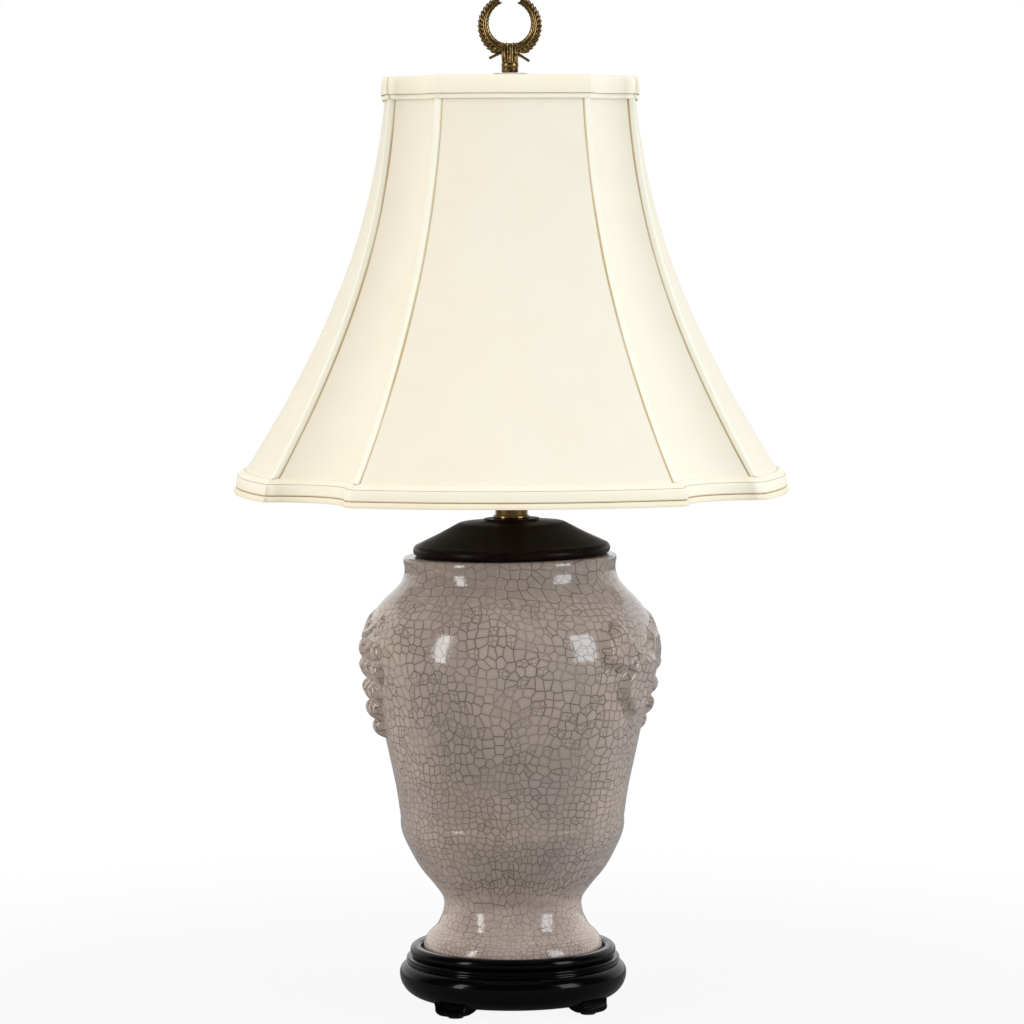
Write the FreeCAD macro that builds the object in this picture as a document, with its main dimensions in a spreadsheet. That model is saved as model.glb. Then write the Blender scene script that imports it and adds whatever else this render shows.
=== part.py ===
import FreeCAD, Part
import math
import os
from types import SimpleNamespace

import Sketcher
from FreeCAD import Placement, Rotation, Vector

# Table lamp: a crackle-glazed vase on a lacquered stand, with a square cut-corner bell shade.
# Millimetres, +Z up, origin on the table under the middle of the lamp, front towards -Y.

driving_sizes = {
    # stand, turned wood
    "pad_thickness": 1.5,
    "pad_radius": 6.0,
    "apron_gap": 9.2,
    "stand_height": 42.3,
    "apron_radius": 80.0,
    "bulge_rise": 17.3,
    "bulge_radius": 93.5,
    "bulge_round": 18.2,
    "reed_rise": 25.3,
    "reed_radius": 87.0,
    "reed_height": 2.6,
    "groove_radius": 82.8,
    "ring_crest_radius": 79.8,
    "ring_round": 5.9,
    "ring_inner_round": 4.6,
    "recess_depth": 9.0,
    "recess_clearance": 1.3,
    "web_thickness": 14.0,
    "hollow_radius": 70.0,
    # feet under the stand
    "foot_width": 29.0,
    "foot_toe_radius": 87.5,
    "foot_heel_radius": 66.0,
    "foot_top_radius": 92.0,
    "foot_toe_height": 5.5,
    "foot_toe_round": 4.0,
    "foot_heel_round": 5.0,
    "foot_scroll_depth": 1.4,
    "foot_brow_drop": 6.0,
    "foot_waist_inset": 0.9,
    "foot_base_inset": 6.0,
    "foot_turn": -38.6,
    "foot_count": 4.0,
    # cord inlet
    "inlet_rise": 9.6,
    "inlet_bore": 3.6,
    "inlet_sleeve": 5.2,
    "inlet_flange": 8.0,
    "inlet_flange_thickness": 2.2,
    "inlet_seat": 87.5,
    # hardware on the threaded pipe
    "pipe_radius": 5.1,
    "pipe_bore": 3.9,
    "pipe_clearance": 0.3,
    "pipe_tail": 10.0,
    "washer_radius": 14.0,
    "washer_thickness": 1.7,
    "locknut_width": 16.0,
    "locknut_thickness": 6.0,
    "saddle_nut_thickness": 3.6,
    # vase
    "vase_height": 326.6,
    "vase_wall": 7.0,
    "vase_floor": 13.0,
    "vase_base_radius": 71.6,
    "vase_foot_radius": 73.8,
    "vase_foot_slope_radius": 67.4,
    "vase_waist_radius": 56.2,
    "vase_flare_radius": 72.2,
    "vase_hip_radius": 88.2,
    "vase_stem_radius": 92.1,
    "vase_lower_body_radius": 96.0,
    "vase_body_radius": 109.0,
    "vase_belly_radius": 119.7,
    "vase_shoulder_radius": 113.9,
    "vase_neck_radius": 94.7,
    "vase_throat_radius": 86.7,
    "vase_lip_radius": 87.3,
    "vase_lip_round": 2.6,
    "vase_mouth_radius": 74.0,
    "vase_mouth_depth": 9.0,
    # applied grape sprigs
    "sprig_right_turn": 75.0,
    "sprig_left_turn": -113.0,
    "grape_radius": 9.0,
    "grape_pitch": 17.0,
    "grape_top_level": 297.4,
    "leaf_thickness": 3.6,
    "vine_radius": 2.6,
    # wooden cap in the mouth of the vase
    "cap_spigot_depth": 6.0,
    "cap_spigot_clearance": 0.5,
    "cap_rim_radius": 78.2,
    "cap_rim_thickness": 8.2,
    "cap_rim_round": 4.3,
    "cap_shoulder_radius": 45.0,
    "cap_shoulder_rise": 27.9,
    "cap_disc_radius": 23.0,
    "cap_disc_foot_rise": 29.6,
    "cap_disc_rise": 31.6,
    # brass neck
    "neck_height": 50.8,
    "neck_radius": 13.3,
    "neck_wall": 1.2,
    "neck_bead_height": 2.4,
    # harp and saddle
    "saddle_thickness": 1.6,
    "saddle_width": 12.7,
    "harp_leg_offset": 36.0,
    "saddle_end": 5.0,
    "harp_wire_radius": 2.0,
    "harp_height": 302.4,
    "harp_half_width": 54.0,
    "harp_splay": 5.0,
    "harp_bend_radius": 60.0,
    "harp_crown_flat": 6.0,
    "post_height": 13.4,
    "ferrule_radius": 4.2,
    "ferrule_length": 24.0,
    "ferrule_clearance": 0.1,
    "rest_gap": 0.3,
    "stud_radius": 3.175,
    "stud_length": 9.8,
    "stud_seat_radius": 7.5,
    "stud_seat_height": 3.6,
    # socket
    "socket_boss_radius": 8.0,
    "socket_boss_height": 8.0,
    "socket_fit": 0.3,
    "socket_cap_rise": 20.0,
    "socket_cap_height": 26.0,
    "socket_cap_round": 12.5,
    "socket_wall": 1.0,
    "shell_radius": 18.2,
    "shell_wall": 0.8,
    "shell_start": 21.0,
    "shell_end": 62.8,
    "liner_wall": 0.9,
    "block_clearance": 0.6,
    "block_start": 22.8,
    "block_end": 35.8,
    "thread_shell_radius": 14.3,
    "thread_shell_length": 22.0,
    "contact_radius": 4.0,
    "contact_thickness": 1.2,
    "terminal_offset": 9.0,
    "terminal_head_radius": 3.0,
    "terminal_head_height": 1.6,
    "terminal_shank_radius": 1.5,
    "terminal_depth": 5.0,
    "cap_screw_radius": 1.6,
    "cap_screw_length": 5.0,
    # rotary switch
    "switch_rise": 29.3,
    "switch_shaft_radius": 2.4,
    "switch_clearance": 0.08,
    "switch_wall_hole": 3.3,
    "switch_shaft_start": 7.0,
    "switch_knob_gap": 1.8,
    "switch_knob_length": 15.0,
    "switch_knob_radius": 6.6,
    "switch_knob_end_radius": 5.4,
    "switch_knob_cover": 4.0,
    "knob_flute_radius": 1.1,
    "knob_flute_count": 12.0,
    # lamp bulb
    "bulb_cap_radius": 13.0,
    "bulb_thread_clearance": 0.1,
    "bulb_cap_lift": 4.0,
    "bulb_cap_length": 23.5,
    "bulb_contact_radius": 5.0,
    "bulb_contact_height": 2.6,
    "bulb_neck_radius": 13.6,
    "bulb_neck_height": 8.5,
    "bulb_radius": 30.0,
    "bulb_crown_flat": 2.0,
    "bulb_centre_rise": 76.0,
    "bulb_glass": 1.0,
    # shade
    "shade_height": 335.6,
    "shade_top_half": 100.4,
    "shade_bottom_half": 225.4,
    "shade_bend": 0.78,
    "rib_top_short": 59.4,
    "rib_top_long": 96.3,
    "rib_bottom_short": 132.2,
    "rib_bottom_long": 196.9,
    "rib_bend": 0.9,
    "scallop_top": 9.5,
    "scallop_bottom": 21.6,
    "fabric_thickness": 0.8,
    "frame_inset": 3.1,
    "frame_wire_radius": 1.5,
    "frame_wire_drop": 5.2,
    "lining_inset": 5.5,
    "lining_thickness": 0.6,
    "trim_gap": 0.15,
    "strip_reach": 4.5,
    "strip_thickness": 0.9,
    "hem_thickness": 1.4,
    "hem_inset": 6.6,
    "top_trim_height": 14.3,
    "top_trim_edge": 1.7,
    "top_trim_crown": 3.5,
    "top_piping_height": 4.0,
    "top_piping_crown": 2.2,
    "bottom_roll_height": 5.0,
    "bottom_roll_crown": 1.9,
    "bottom_trim_height": 8.6,
    "bottom_trim_crown": 1.6,
    "bottom_lip_height": 3.9,
    "bottom_lip_crown": 1.3,
    "seam_gap": 0.3,
    # spider that hangs the shade on the harp
    "hub_radius": 14.0,
    "hub_thickness": 2.0,
    "hub_clearance": 0.09,
    "arm_radius": 1.6,
    "shade_hang": 3.9,
    # finial
    "finial_radius": 6.65,
    "finial_collar_height": 8.4,
    "finial_bore_depth": 7.6,
    "finial_thread_clearance": 0.06,
    "wreath_rise": 39.2,
    "wreath_radius": 26.0,
    "wreath_inner_radius": 15.9,
    "wreath_valley": 2.3,
    "wreath_thickness": 4.4,
    "wreath_rib_radius": 2.7,
    "wreath_gap": 21.0,
    "twig_radius": 1.2,
}

vase_stations = (
    (0.000, "vase_base_radius"),
    (0.021, "vase_foot_radius"),
    (0.058, "vase_foot_slope_radius"),
    (0.131, "vase_waist_radius"),
    (0.207, "vase_flare_radius"),
    (0.287, "vase_hip_radius"),
    (0.345, "vase_stem_radius"),
    (0.428, "vase_lower_body_radius"),
    (0.610, "vase_body_radius"),
    (0.764, "vase_belly_radius"),
    (0.849, "vase_shoulder_radius"),
    (0.920, "vase_neck_radius"),
    (0.962, "vase_throat_radius"),
)
wall_stations = (0.131, 0.962)  # the wall follows the outside between these shares of the height

grape_rows = (
    # grapes, middle of the row round the vase, drop below the top row, middles out from the wall
    (4, 71.5, 0.4, -5.1),
    (4, 72.5, 16.3, -2.6),
    (3, 66.3, 34.7, -0.6),
    (2, 60.9, 51.3, 0.1),
    (1, 63.1, 65.2, -0.7),
)
relief_lobes = (
    # round the vase, drop below the top row, half width, half height: the bunch, then the leaves
    (69.7, 13.6, 28.1, 19.2),
    (64.2, 40.3, 14.7, 25.1),
    (-80.0, -12.0, 13.0, 17.0),
    (-66.0, 3.0, 15.0, 15.0),
    (-30.0, 25.0, 17.0, 28.0),
    (-4.0, 4.0, 20.0, 12.0),
)
vine_span = (-60.0, 52.0)
tape_crown = ((0.0, 0.0), (0.2, 0.7), (0.5, 1.0), (0.8, 0.7), (1.0, 0.0))  # share of the width, of the crown
wreath_leaves = 9

document = FreeCAD.newDocument("TableLamp")
sheet = document.addObject("Spreadsheet::Sheet", "Dimensions")
for row, (name, number) in enumerate(driving_sizes.items(), start=1):
    sheet.set("A%d" % row, name)
    sheet.set("B%d" % row, str(number))
    sheet.setAlias("B%d" % row, name)
document.recompute()

subparts = {}


class Size:
    """A length together with the sheet expression that gives it."""

    def __init__(self, value, text):
        self.value = value
        self.text = text

    def __add__(self, other):
        other = as_size(other)
        return Size(self.value + other.value, "(%s + %s)" % (self.text, other.text))

    def __sub__(self, other):
        other = as_size(other)
        return Size(self.value - other.value, "(%s - %s)" % (self.text, other.text))

    def __mul__(self, factor):
        return Size(self.value * factor, "(%s * %s)" % (self.text, factor))


def as_size(item):
    if isinstance(item, Size):
        return item
    return Size(float(item), str(item))


size = SimpleNamespace(**{name: Size(sheet.get(name), "Dimensions." + name) for name in driving_sizes})
mm = SimpleNamespace(**{name: float(sheet.get(name)) for name in driving_sizes})

# Sizes that follow the piece they fit
size.saddle_half_length = size.harp_leg_offset + size.saddle_end
size.socket_cap_radius = size.shell_radius + size.socket_wall + size.socket_fit
size.liner_radius = size.shell_radius - size.shell_wall - size.rest_gap
size.block_radius = size.liner_radius - size.liner_wall - size.block_clearance
size.switch_knob_start = size.shell_radius + size.switch_knob_gap

# Heights of the stack, from the table up
level = SimpleNamespace()
level.stand = size.pad_thickness + size.apron_gap
level.stand_top = level.stand + size.stand_height
level.vase = level.stand_top - size.recess_depth
level.web = level.vase - size.web_thickness
level.vase_top = level.vase + size.vase_height
level.neck = level.vase_top + size.cap_disc_rise
level.saddle = level.neck + size.neck_height
level.saddle_top = level.saddle + size.saddle_thickness
level.socket = level.saddle_top + size.saddle_nut_thickness
level.block = level.socket + size.block_start
level.block_top = level.socket + size.block_end
level.switch = level.socket + size.switch_rise
level.bulb = level.block_top + size.bulb_cap_lift
level.bulb_glass = level.bulb + size.bulb_cap_length
level.harp_crown = level.saddle_top + size.harp_height
level.seat_top = level.harp_crown + size.harp_wire_radius + size.stud_seat_height
level.hub = level.seat_top + size.rest_gap
level.hub_top = level.hub + size.hub_thickness
level.finial = level.hub_top + size.rest_gap
level.shade_top = level.hub_top - size.shade_hang
level.inlet = level.stand + size.inlet_rise


def keep(piece, label):
    piece.Label = label
    subparts[label] = piece
    return piece


def line(start, end):
    return Part.LineSegment(start, end).toShape()


def arc(start, through, end):
    return Part.Arc(start, through, end).toShape()


def new_sketch(body, name, role, offset=None):
    """Sketch on one of the body's own origin planes, moved along its normal by offset."""
    plane = [item for item in body.Origin.OriginFeatures if item.Role == role][0]
    sketch = body.newObject("Sketcher::SketchObject", name)
    sketch.AttachmentSupport = [(plane, "")]
    sketch.MapMode = "FlatFace"
    if offset is not None:
        sketch.setExpression(".AttachmentOffset.Base.z", offset.text)
    return sketch


def constrain(sketch, amount, *arguments):
    number = sketch.addConstraint(Sketcher.Constraint(*arguments, amount.value))
    sketch.setExpression("Constraints[%d]" % number, amount.text)


def place_point(sketch, edge, end, across, up):
    """Ties an end of an edge to the origin by its two distances."""
    for amount, kind, axis in ((across, "DistanceX", -2), (up, "DistanceY", -1)):
        if amount.value == 0:
            sketch.addConstraint(Sketcher.Constraint("PointOnObject", edge, end, axis))
        else:
            constrain(sketch, amount, kind, -1, 1, edge, end)


def arc_between(start, end, radius, side):
    """Arc from start to end, with its centre on the left (side 1) or the right (side -1)."""
    half = (end - start) * 0.5
    reach = math.sqrt(max(radius ** 2 - half.Length ** 2, 0.0))
    left = Vector(-half.y, half.x, 0).normalize()
    centre = start + half + left * reach * side
    first, last = (start, end) if side > 0 else (end, start)
    angles = [math.atan2(point.y - centre.y, point.x - centre.x) for point in (first, last)]
    return Part.ArcOfCircle(Part.Circle(centre, Vector(0, 0, 1), radius), *angles)


def draw_outline(sketch, outline):
    """Closed outline, walked with its inside on the left.

    Each corner is (across, up) or (across, up, bow, radius): bow is "out" for an arc that swells
    away from the inside on its way to the next corner, and "in" for a hollow one.
    """
    corners = [(as_size(item[0]), as_size(item[1])) for item in outline]
    points = [Vector(across.value, up.value, 0) for across, up in corners]
    ends = []
    for number, item in enumerate(outline):
        start, end = points[number], points[(number + 1) % len(points)]
        if len(item) == 2:
            sketch.addGeometry(Part.LineSegment(start, end))
            ends.append((1, 2))
        else:
            side = 1 if item[2] == "out" else -1
            sketch.addGeometry(arc_between(start, end, item[3].value, side))
            ends.append((1, 2) if side > 0 else (2, 1))
    for number, item in enumerate(outline):
        after = (number + 1) % len(outline)
        joint = Sketcher.Constraint("Coincident", number, ends[number][1], after, ends[after][0])
        sketch.addConstraint(joint)
        place_point(sketch, number, ends[number][0], *corners[number])
        if len(item) > 2:
            constrain(sketch, item[3], "Radius", number)


def turned(label, outline):
    """Body turned about its own Z axis from an outline of (radius, height) corners."""
    body = document.addObject("PartDesign::Body", label)
    sketch = new_sketch(body, label + "_outline", "XZ_Plane")
    draw_outline(sketch, outline)
    turn = body.newObject("PartDesign::Revolution", label + "_turn")
    turn.Profile = sketch
    turn.ReferenceAxis = (sketch, ["V_Axis"])
    turn.Angle = 360
    body.Tip = turn
    return keep(body, label)


def tube(label, inner, outer, low, high):
    return turned(label, [(inner, low), (outer, low), (outer, high), (inner, high)])


def side_hole(body, name, height, radius, length, forward, offset=None):
    """Round hole along Y, from the middle plane (or from offset) out to the given length."""
    before = body.Shape.Volume
    sketch = new_sketch(body, name + "_circle", "XZ_Plane", offset)
    sketch.addGeometry(Part.Circle(Vector(0, height.value, 0), Vector(0, 0, 1), radius.value))
    sketch.addConstraint(Sketcher.Constraint("PointOnObject", 0, 3, -2))
    constrain(sketch, height, "DistanceY", -1, 1, 0, 3)
    constrain(sketch, radius, "Radius", 0)
    pocket = body.newObject("PartDesign::Pocket", name)
    pocket.Profile = sketch
    pocket.Reversed = forward
    pocket.setExpression("Length", length.text)
    body.Tip = pocket
    document.recompute()
    if body.Shape.Volume >= before:
        raise ValueError(name + " removes nothing")


def upright_hole(body, name, spots, radius, base, depth):
    """Round holes down from the height base, at the given (across, back) spots."""
    before = body.Shape.Volume
    sketch = new_sketch(body, name + "_circles", "XY_Plane", base)
    for number, (across, back) in enumerate(spots):
        middle = Vector(across.value, back.value, 0)
        sketch.addGeometry(Part.Circle(middle, Vector(0, 0, 1), radius.value))
        place_point(sketch, number, 3, across, back)
        constrain(sketch, radius, "Radius", number)
    pocket = body.newObject("PartDesign::Pocket", name)
    pocket.Profile = sketch
    pocket.setExpression("Length", depth.text)
    body.Tip = pocket
    document.recompute()
    if body.Shape.Volume >= before:
        raise ValueError(name + " removes nothing")


def shaped(label, shape):
    """Sub-part whose curved form comes straight from geometry."""
    piece = document.addObject("Part::Feature", label)
    piece.Shape = shape
    piece.Placement = Placement()
    return keep(piece, label)


def nut(label, width, height, low):
    """Hexagon nut on the pipe, with its lower face at low."""
    prism = document.addObject("Part::Prism", label + "_hexagon")
    prism.Polygon = 6
    prism.setExpression("Circumradius", (width * 0.57735).text)
    prism.setExpression("Height", height.text)
    bore = document.addObject("Part::Cylinder", label + "_bore")
    bore.setExpression("Radius", (size.pipe_radius + 0.05).text)
    bore.setExpression("Height", height.text)
    cut = document.addObject("Part::Cut", label)
    cut.Base = prism
    cut.Tool = bore
    cut.setExpression(".Placement.Base.z", low.text)
    return keep(cut, label)


# Stand


def make_stand():
    ring_top = level.stand_top
    reed = level.stand + size.reed_rise
    recess = size.vase_foot_radius + size.recess_clearance
    hole = size.pipe_radius + size.pipe_clearance
    body = turned("stand_body", [
        (size.hollow_radius, level.stand),
        (size.apron_radius, level.stand, "out", size.bulge_round),
        (size.bulge_radius, level.stand + size.bulge_rise, "out", size.bulge_round * 0.5),
        (size.reed_radius, reed, "out", size.reed_height * 0.6),
        (size.reed_radius, reed + size.reed_height, "out", size.reed_height * 0.6),
        (size.reed_radius, reed + size.reed_height * 2),
        (size.groove_radius, reed + size.reed_height * 2 + 0.9, "out", size.ring_round),
        (size.ring_crest_radius, ring_top, "out", size.ring_inner_round),
        (recess, ring_top - size.ring_inner_round * 0.9),
        (recess, level.vase),
        (hole, level.vase),
        (hole, level.web),
        (size.hollow_radius, level.web),
    ])
    document.recompute()
    side_hole(body, "inlet_hole", level.inlet, size.inlet_sleeve + 0.05, size.bulge_radius, False)
    side_hole(body, "inlet_face", level.inlet, size.inlet_flange + size.rest_gap, size.bulge_radius,
              False, size.inlet_seat * -1)
    return body


def foot_blank():
    """One bracket foot under +X: a side outline with a scrolled toe, narrowed towards the table."""
    low, neck = mm.pad_thickness, level.stand.value
    high = neck + mm.bulge_rise
    heel, toe, top = mm.foot_heel_radius, mm.foot_toe_radius, mm.foot_top_radius
    heel_end = Vector(heel + mm.foot_heel_round, 0, low)
    toe_start = Vector(toe - mm.foot_toe_round, 0, low)
    scroll = Vector(toe - mm.foot_toe_round / 2, 0, low + mm.foot_toe_height)
    brow = Vector(top, 0, high - mm.foot_brow_drop)
    side = Part.Wire([
        line(Vector(heel, 0, high), Vector(heel, 0, neck)),
        arc(Vector(heel, 0, neck), Vector(heel + mm.foot_heel_round / 4, 0, (neck + low) / 2), heel_end),
        line(heel_end, toe_start),
        arc(toe_start, Vector(toe, 0, low + mm.foot_toe_height / 2), scroll),
        arc(scroll, Vector(scroll.x - mm.foot_scroll_depth, 0, neck), brow),
        line(brow, Vector(top, 0, high)),
        line(Vector(top, 0, high), Vector(heel, 0, high)),
    ])
    slab = Part.Face(side).extrude(Vector(0, mm.foot_width * 2, 0))
    slab.translate(Vector(0, -mm.foot_width, 0))
    wide = mm.foot_width / 2 + mm.foot_heel_round / 2
    middle = mm.foot_width / 2 - mm.foot_waist_inset
    narrow = mm.foot_width / 2 - mm.foot_base_inset
    waist = neck - mm.foot_toe_height
    front = Part.Wire([
        line(Vector(0, -wide, high), Vector(0, -wide, neck)),
        arc(Vector(0, -wide, neck), Vector(0, -middle, waist), Vector(0, -narrow, low)),
        line(Vector(0, -narrow, low), Vector(0, narrow, low)),
        arc(Vector(0, narrow, low), Vector(0, middle, waist), Vector(0, wide, neck)),
        line(Vector(0, wide, neck), Vector(0, wide, high)),
        line(Vector(0, wide, high), Vector(0, -wide, high)),
    ])
    plate = Part.Face(front).extrude(Vector(top * 1.2, 0, 0))
    return slab.common(plate)


def round_copies(shape, count, start):
    """Copies of a shape turned about Z, the first at start degrees from the front towards +X."""
    copies = []
    for number in range(int(count)):
        copy = shape.copy()
        copy.rotate(Vector(0, 0, 0), Vector(0, 0, 1), start - 90 + number * 360.0 / int(count))
        copies.append(copy)
    return copies


def make_feet(stand):
    hollow = Part.makeCylinder(mm.hollow_radius, mm.stand_height, Vector(0, 0, level.stand.value))
    solids = []
    for blank in round_copies(foot_blank(), mm.foot_count, mm.foot_turn):
        foot = blank.cut(stand.Shape).cut(hollow)
        solids.append(max(foot.Solids, key=lambda solid: solid.Volume))
    return shaped("stand_feet", Part.Compound(solids))


def make_pads():
    middle = (mm.foot_heel_radius + mm.foot_toe_radius) / 2
    pad = Part.makeCylinder(mm.pad_radius, mm.pad_thickness, Vector(middle, 0, 0))
    return shaped("foot_pads", Part.Compound(round_copies(pad, mm.foot_count, mm.foot_turn)))


def make_inlet():
    """Flanged sleeve in the back of the stand, made upright and laid along +Y."""
    seat = size.inlet_seat
    body = turned("cord_bushing", [
        (size.inlet_bore, size.hollow_radius - 1.5),
        (size.inlet_sleeve, size.hollow_radius - 1.5),
        (size.inlet_sleeve, seat),
        (size.inlet_flange, seat),
        (size.inlet_flange - 0.7, seat + size.inlet_flange_thickness),
        (size.inlet_bore, seat + size.inlet_flange_thickness),
    ])
    body.Placement = Placement(Vector(0, 0, level.inlet.value), Rotation(Vector(1, 0, 0), -90))
    body.setExpression(".Placement.Base.z", level.inlet.text)
    return body


def make_pipe_hardware():
    under_washer = level.web - size.washer_thickness
    bore = size.pipe_radius + size.pipe_clearance
    tube("base_washer", bore, size.washer_radius, under_washer, level.web)
    under_nut = under_washer - size.locknut_thickness
    nut("base_locknut", size.locknut_width, size.locknut_thickness, under_nut)
    pipe_top = level.socket + size.socket_boss_height - 2
    tube("lamp_pipe", size.pipe_bore, size.pipe_radius, level.web - size.pipe_tail, pipe_top)
    nut("saddle_locknut", size.locknut_width, size.saddle_nut_thickness, level.saddle_top)


# Vase


def vase_curve(extra=0.0):
    """Outside of the vase from its foot to just under the lip, swollen by extra."""
    base = level.vase.value
    points = []
    for share, name in vase_stations:
        points.append(Vector(getattr(mm, name) + extra, 0, base + share * mm.vase_height))
    points.append(Vector(mm.vase_lip_radius + extra, 0, base + mm.vase_height - mm.vase_lip_round))
    curve = Part.BSplineCurve()
    curve.interpolate(points)
    return curve


def vase_radius(height):
    """Outside radius of the vase at a height above the table."""
    curve = vase_curve()
    low, high = curve.FirstParameter, curve.LastParameter
    for _ in range(40):
        middle = (low + high) / 2
        if curve.value(middle).z < height:
            low = middle
        else:
            high = middle
    return curve.value(low).x


def vase_block(extra=0.0):
    """Solid of the vase without its hollow, used to seat what is applied to it."""
    curve = vase_curve(extra)
    low, high = curve.StartPoint, curve.EndPoint
    edges = [
        curve.toShape(),
        line(high, Vector(0, 0, high.z)),
        line(Vector(0, 0, high.z), Vector(0, 0, low.z)),
        line(Vector(0, 0, low.z), low),
    ]
    return Part.Face(Part.Wire(edges)).revolve(Vector(0, 0, 0), Vector(0, 0, 1), 360)


def make_vase():
    base, top = level.vase.value, level.vase_top.value
    hole = mm.pipe_radius + mm.pipe_clearance * 3
    outside = vase_curve()
    lip, turn = outside.EndPoint, mm.vase_lip_round
    crest = Vector(lip.x - turn, 0, top)
    bend = Vector(lip.x - turn * (1 - math.sqrt(0.5)), 0, top - turn * (1 - math.sqrt(0.5)))
    inner = []
    for share, name in vase_stations:
        if wall_stations[0] <= share <= wall_stations[1]:
            inner.append(Vector(getattr(mm, name) - mm.vase_wall, 0, base + share * mm.vase_height))
    inner.reverse()
    inside = Part.BSplineCurve()
    inside.interpolate(inner)
    mouth = Vector(mm.vase_mouth_radius, 0, top)
    throat = Vector(mm.vase_mouth_radius, 0, top - mm.vase_mouth_depth)
    floor = Vector(inner[-1].x, 0, base + mm.vase_floor)
    edges = [
        line(Vector(hole, 0, base), outside.StartPoint),
        outside.toShape(),
        arc(lip, bend, crest),
        line(crest, mouth),
        line(mouth, throat),
        line(throat, inner[0]),
        inside.toShape(),
        line(inner[-1], floor),
        line(floor, Vector(hole, 0, floor.z)),
        line(Vector(hole, 0, floor.z), Vector(hole, 0, base)),
    ]
    vase = Part.Face(Part.Wire(edges)).revolve(Vector(0, 0, 0), Vector(0, 0, 1), 360)
    return shaped("vase", vase)


def on_vase(around, height, stand_off):
    """Point beside the outside of the vase: a distance round it at the belly, and a height."""
    angle = around / mm.vase_belly_radius
    radius = vase_radius(height) + stand_off
    return Vector(radius * math.sin(angle), -radius * math.cos(angle), height)


def grape_centres():
    """Middles of the grapes, row by row down from the top of the bunch."""
    centres = []
    for count, row_middle, drop, stand_off in grape_rows:
        height = mm.grape_top_level - drop
        for place in range(count):
            around = row_middle + (place - (count - 1) / 2) * mm.grape_pitch
            centres.append(on_vase(around, height, stand_off))
    return centres


def leaf_lobe(around, drop, half_width, half_height):
    """Oval post that stands out of the vase, as deep as the leaf's relief."""
    height = mm.grape_top_level - drop
    middle = on_vase(around, height, 0)
    outward = Vector(middle.x, middle.y, 0).normalize()
    tall = Part.Ellipse(Vector(0, 0, 0), max(half_width, half_height), min(half_width, half_height))
    face = Part.Face(Part.Wire(tall.toShape()))
    if half_height > half_width:
        face.rotate(Vector(0, 0, 0), Vector(0, 0, 1), 90)
    face.rotate(Vector(0, 0, 0), Vector(1, 0, 0), 90)
    face.rotate(Vector(0, 0, 0), Vector(0, 0, 1), math.degrees(around / mm.vase_belly_radius))
    face.translate(middle - outward * half_width)
    return face.extrude(outward * (half_width * 2))


def make_sprig(label, turn, core):
    """Bunch of grapes with leaves and a vine, moulded apart and set on the vase."""
    posts = [leaf_lobe(*lobe) for lobe in relief_lobes]
    leaves = posts[0].multiFuse(posts[1:]).common(vase_block(mm.leaf_thickness))
    grapes = [Part.makeSphere(mm.grape_radius, centre) for centre in grape_centres()]
    height = mm.grape_top_level
    around = [math.degrees(share / mm.vase_belly_radius) for share in vine_span]
    vine = Part.makeTorus(vase_radius(height), mm.vine_radius, Vector(0, 0, height), Vector(0, 0, 1),
                          0, 360, around[1] - around[0])
    vine.rotate(Vector(0, 0, 0), Vector(0, 0, 1), around[0] - 90)
    bunch = grapes[0].multiFuse(grapes[1:])
    whole = bunch.multiFuse([vine, leaves])
    sprig = max(whole.cut(core).Solids, key=lambda solid: solid.Volume)
    sprig.rotate(Vector(0, 0, 0), Vector(0, 0, 1), turn)
    return shaped(label, Part.Compound([sprig]))


def make_cap():
    top = level.vase_top
    hole = size.pipe_radius + size.pipe_clearance
    spigot = size.vase_mouth_radius - size.cap_spigot_clearance
    return turned("vase_cap", [
        (hole, top - size.cap_spigot_depth),
        (spigot, top - size.cap_spigot_depth),
        (spigot, top),
        (size.cap_rim_radius, top, "out", size.cap_rim_round),
        (size.cap_rim_radius, top + size.cap_rim_thickness),
        (size.cap_shoulder_radius, top + size.cap_shoulder_rise),
        (size.cap_disc_radius, top + size.cap_disc_foot_rise),
        (size.cap_disc_radius - 0.6, level.neck),
        (hole, level.neck),
    ])


def make_neck():
    bead = size.neck_bead_height
    inner = size.neck_radius - size.neck_wall
    roof = level.saddle - size.neck_wall
    hole = size.pipe_radius + size.pipe_clearance
    return turned("neck", [
        (inner, level.neck),
        (size.neck_radius, level.neck, "out", bead * 0.85),
        (size.neck_radius, level.neck + bead),
        (size.neck_radius, level.saddle),
        (hole, level.saddle),
        (hole, roof),
        (inner, roof),
    ])


# Harp and saddle


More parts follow.
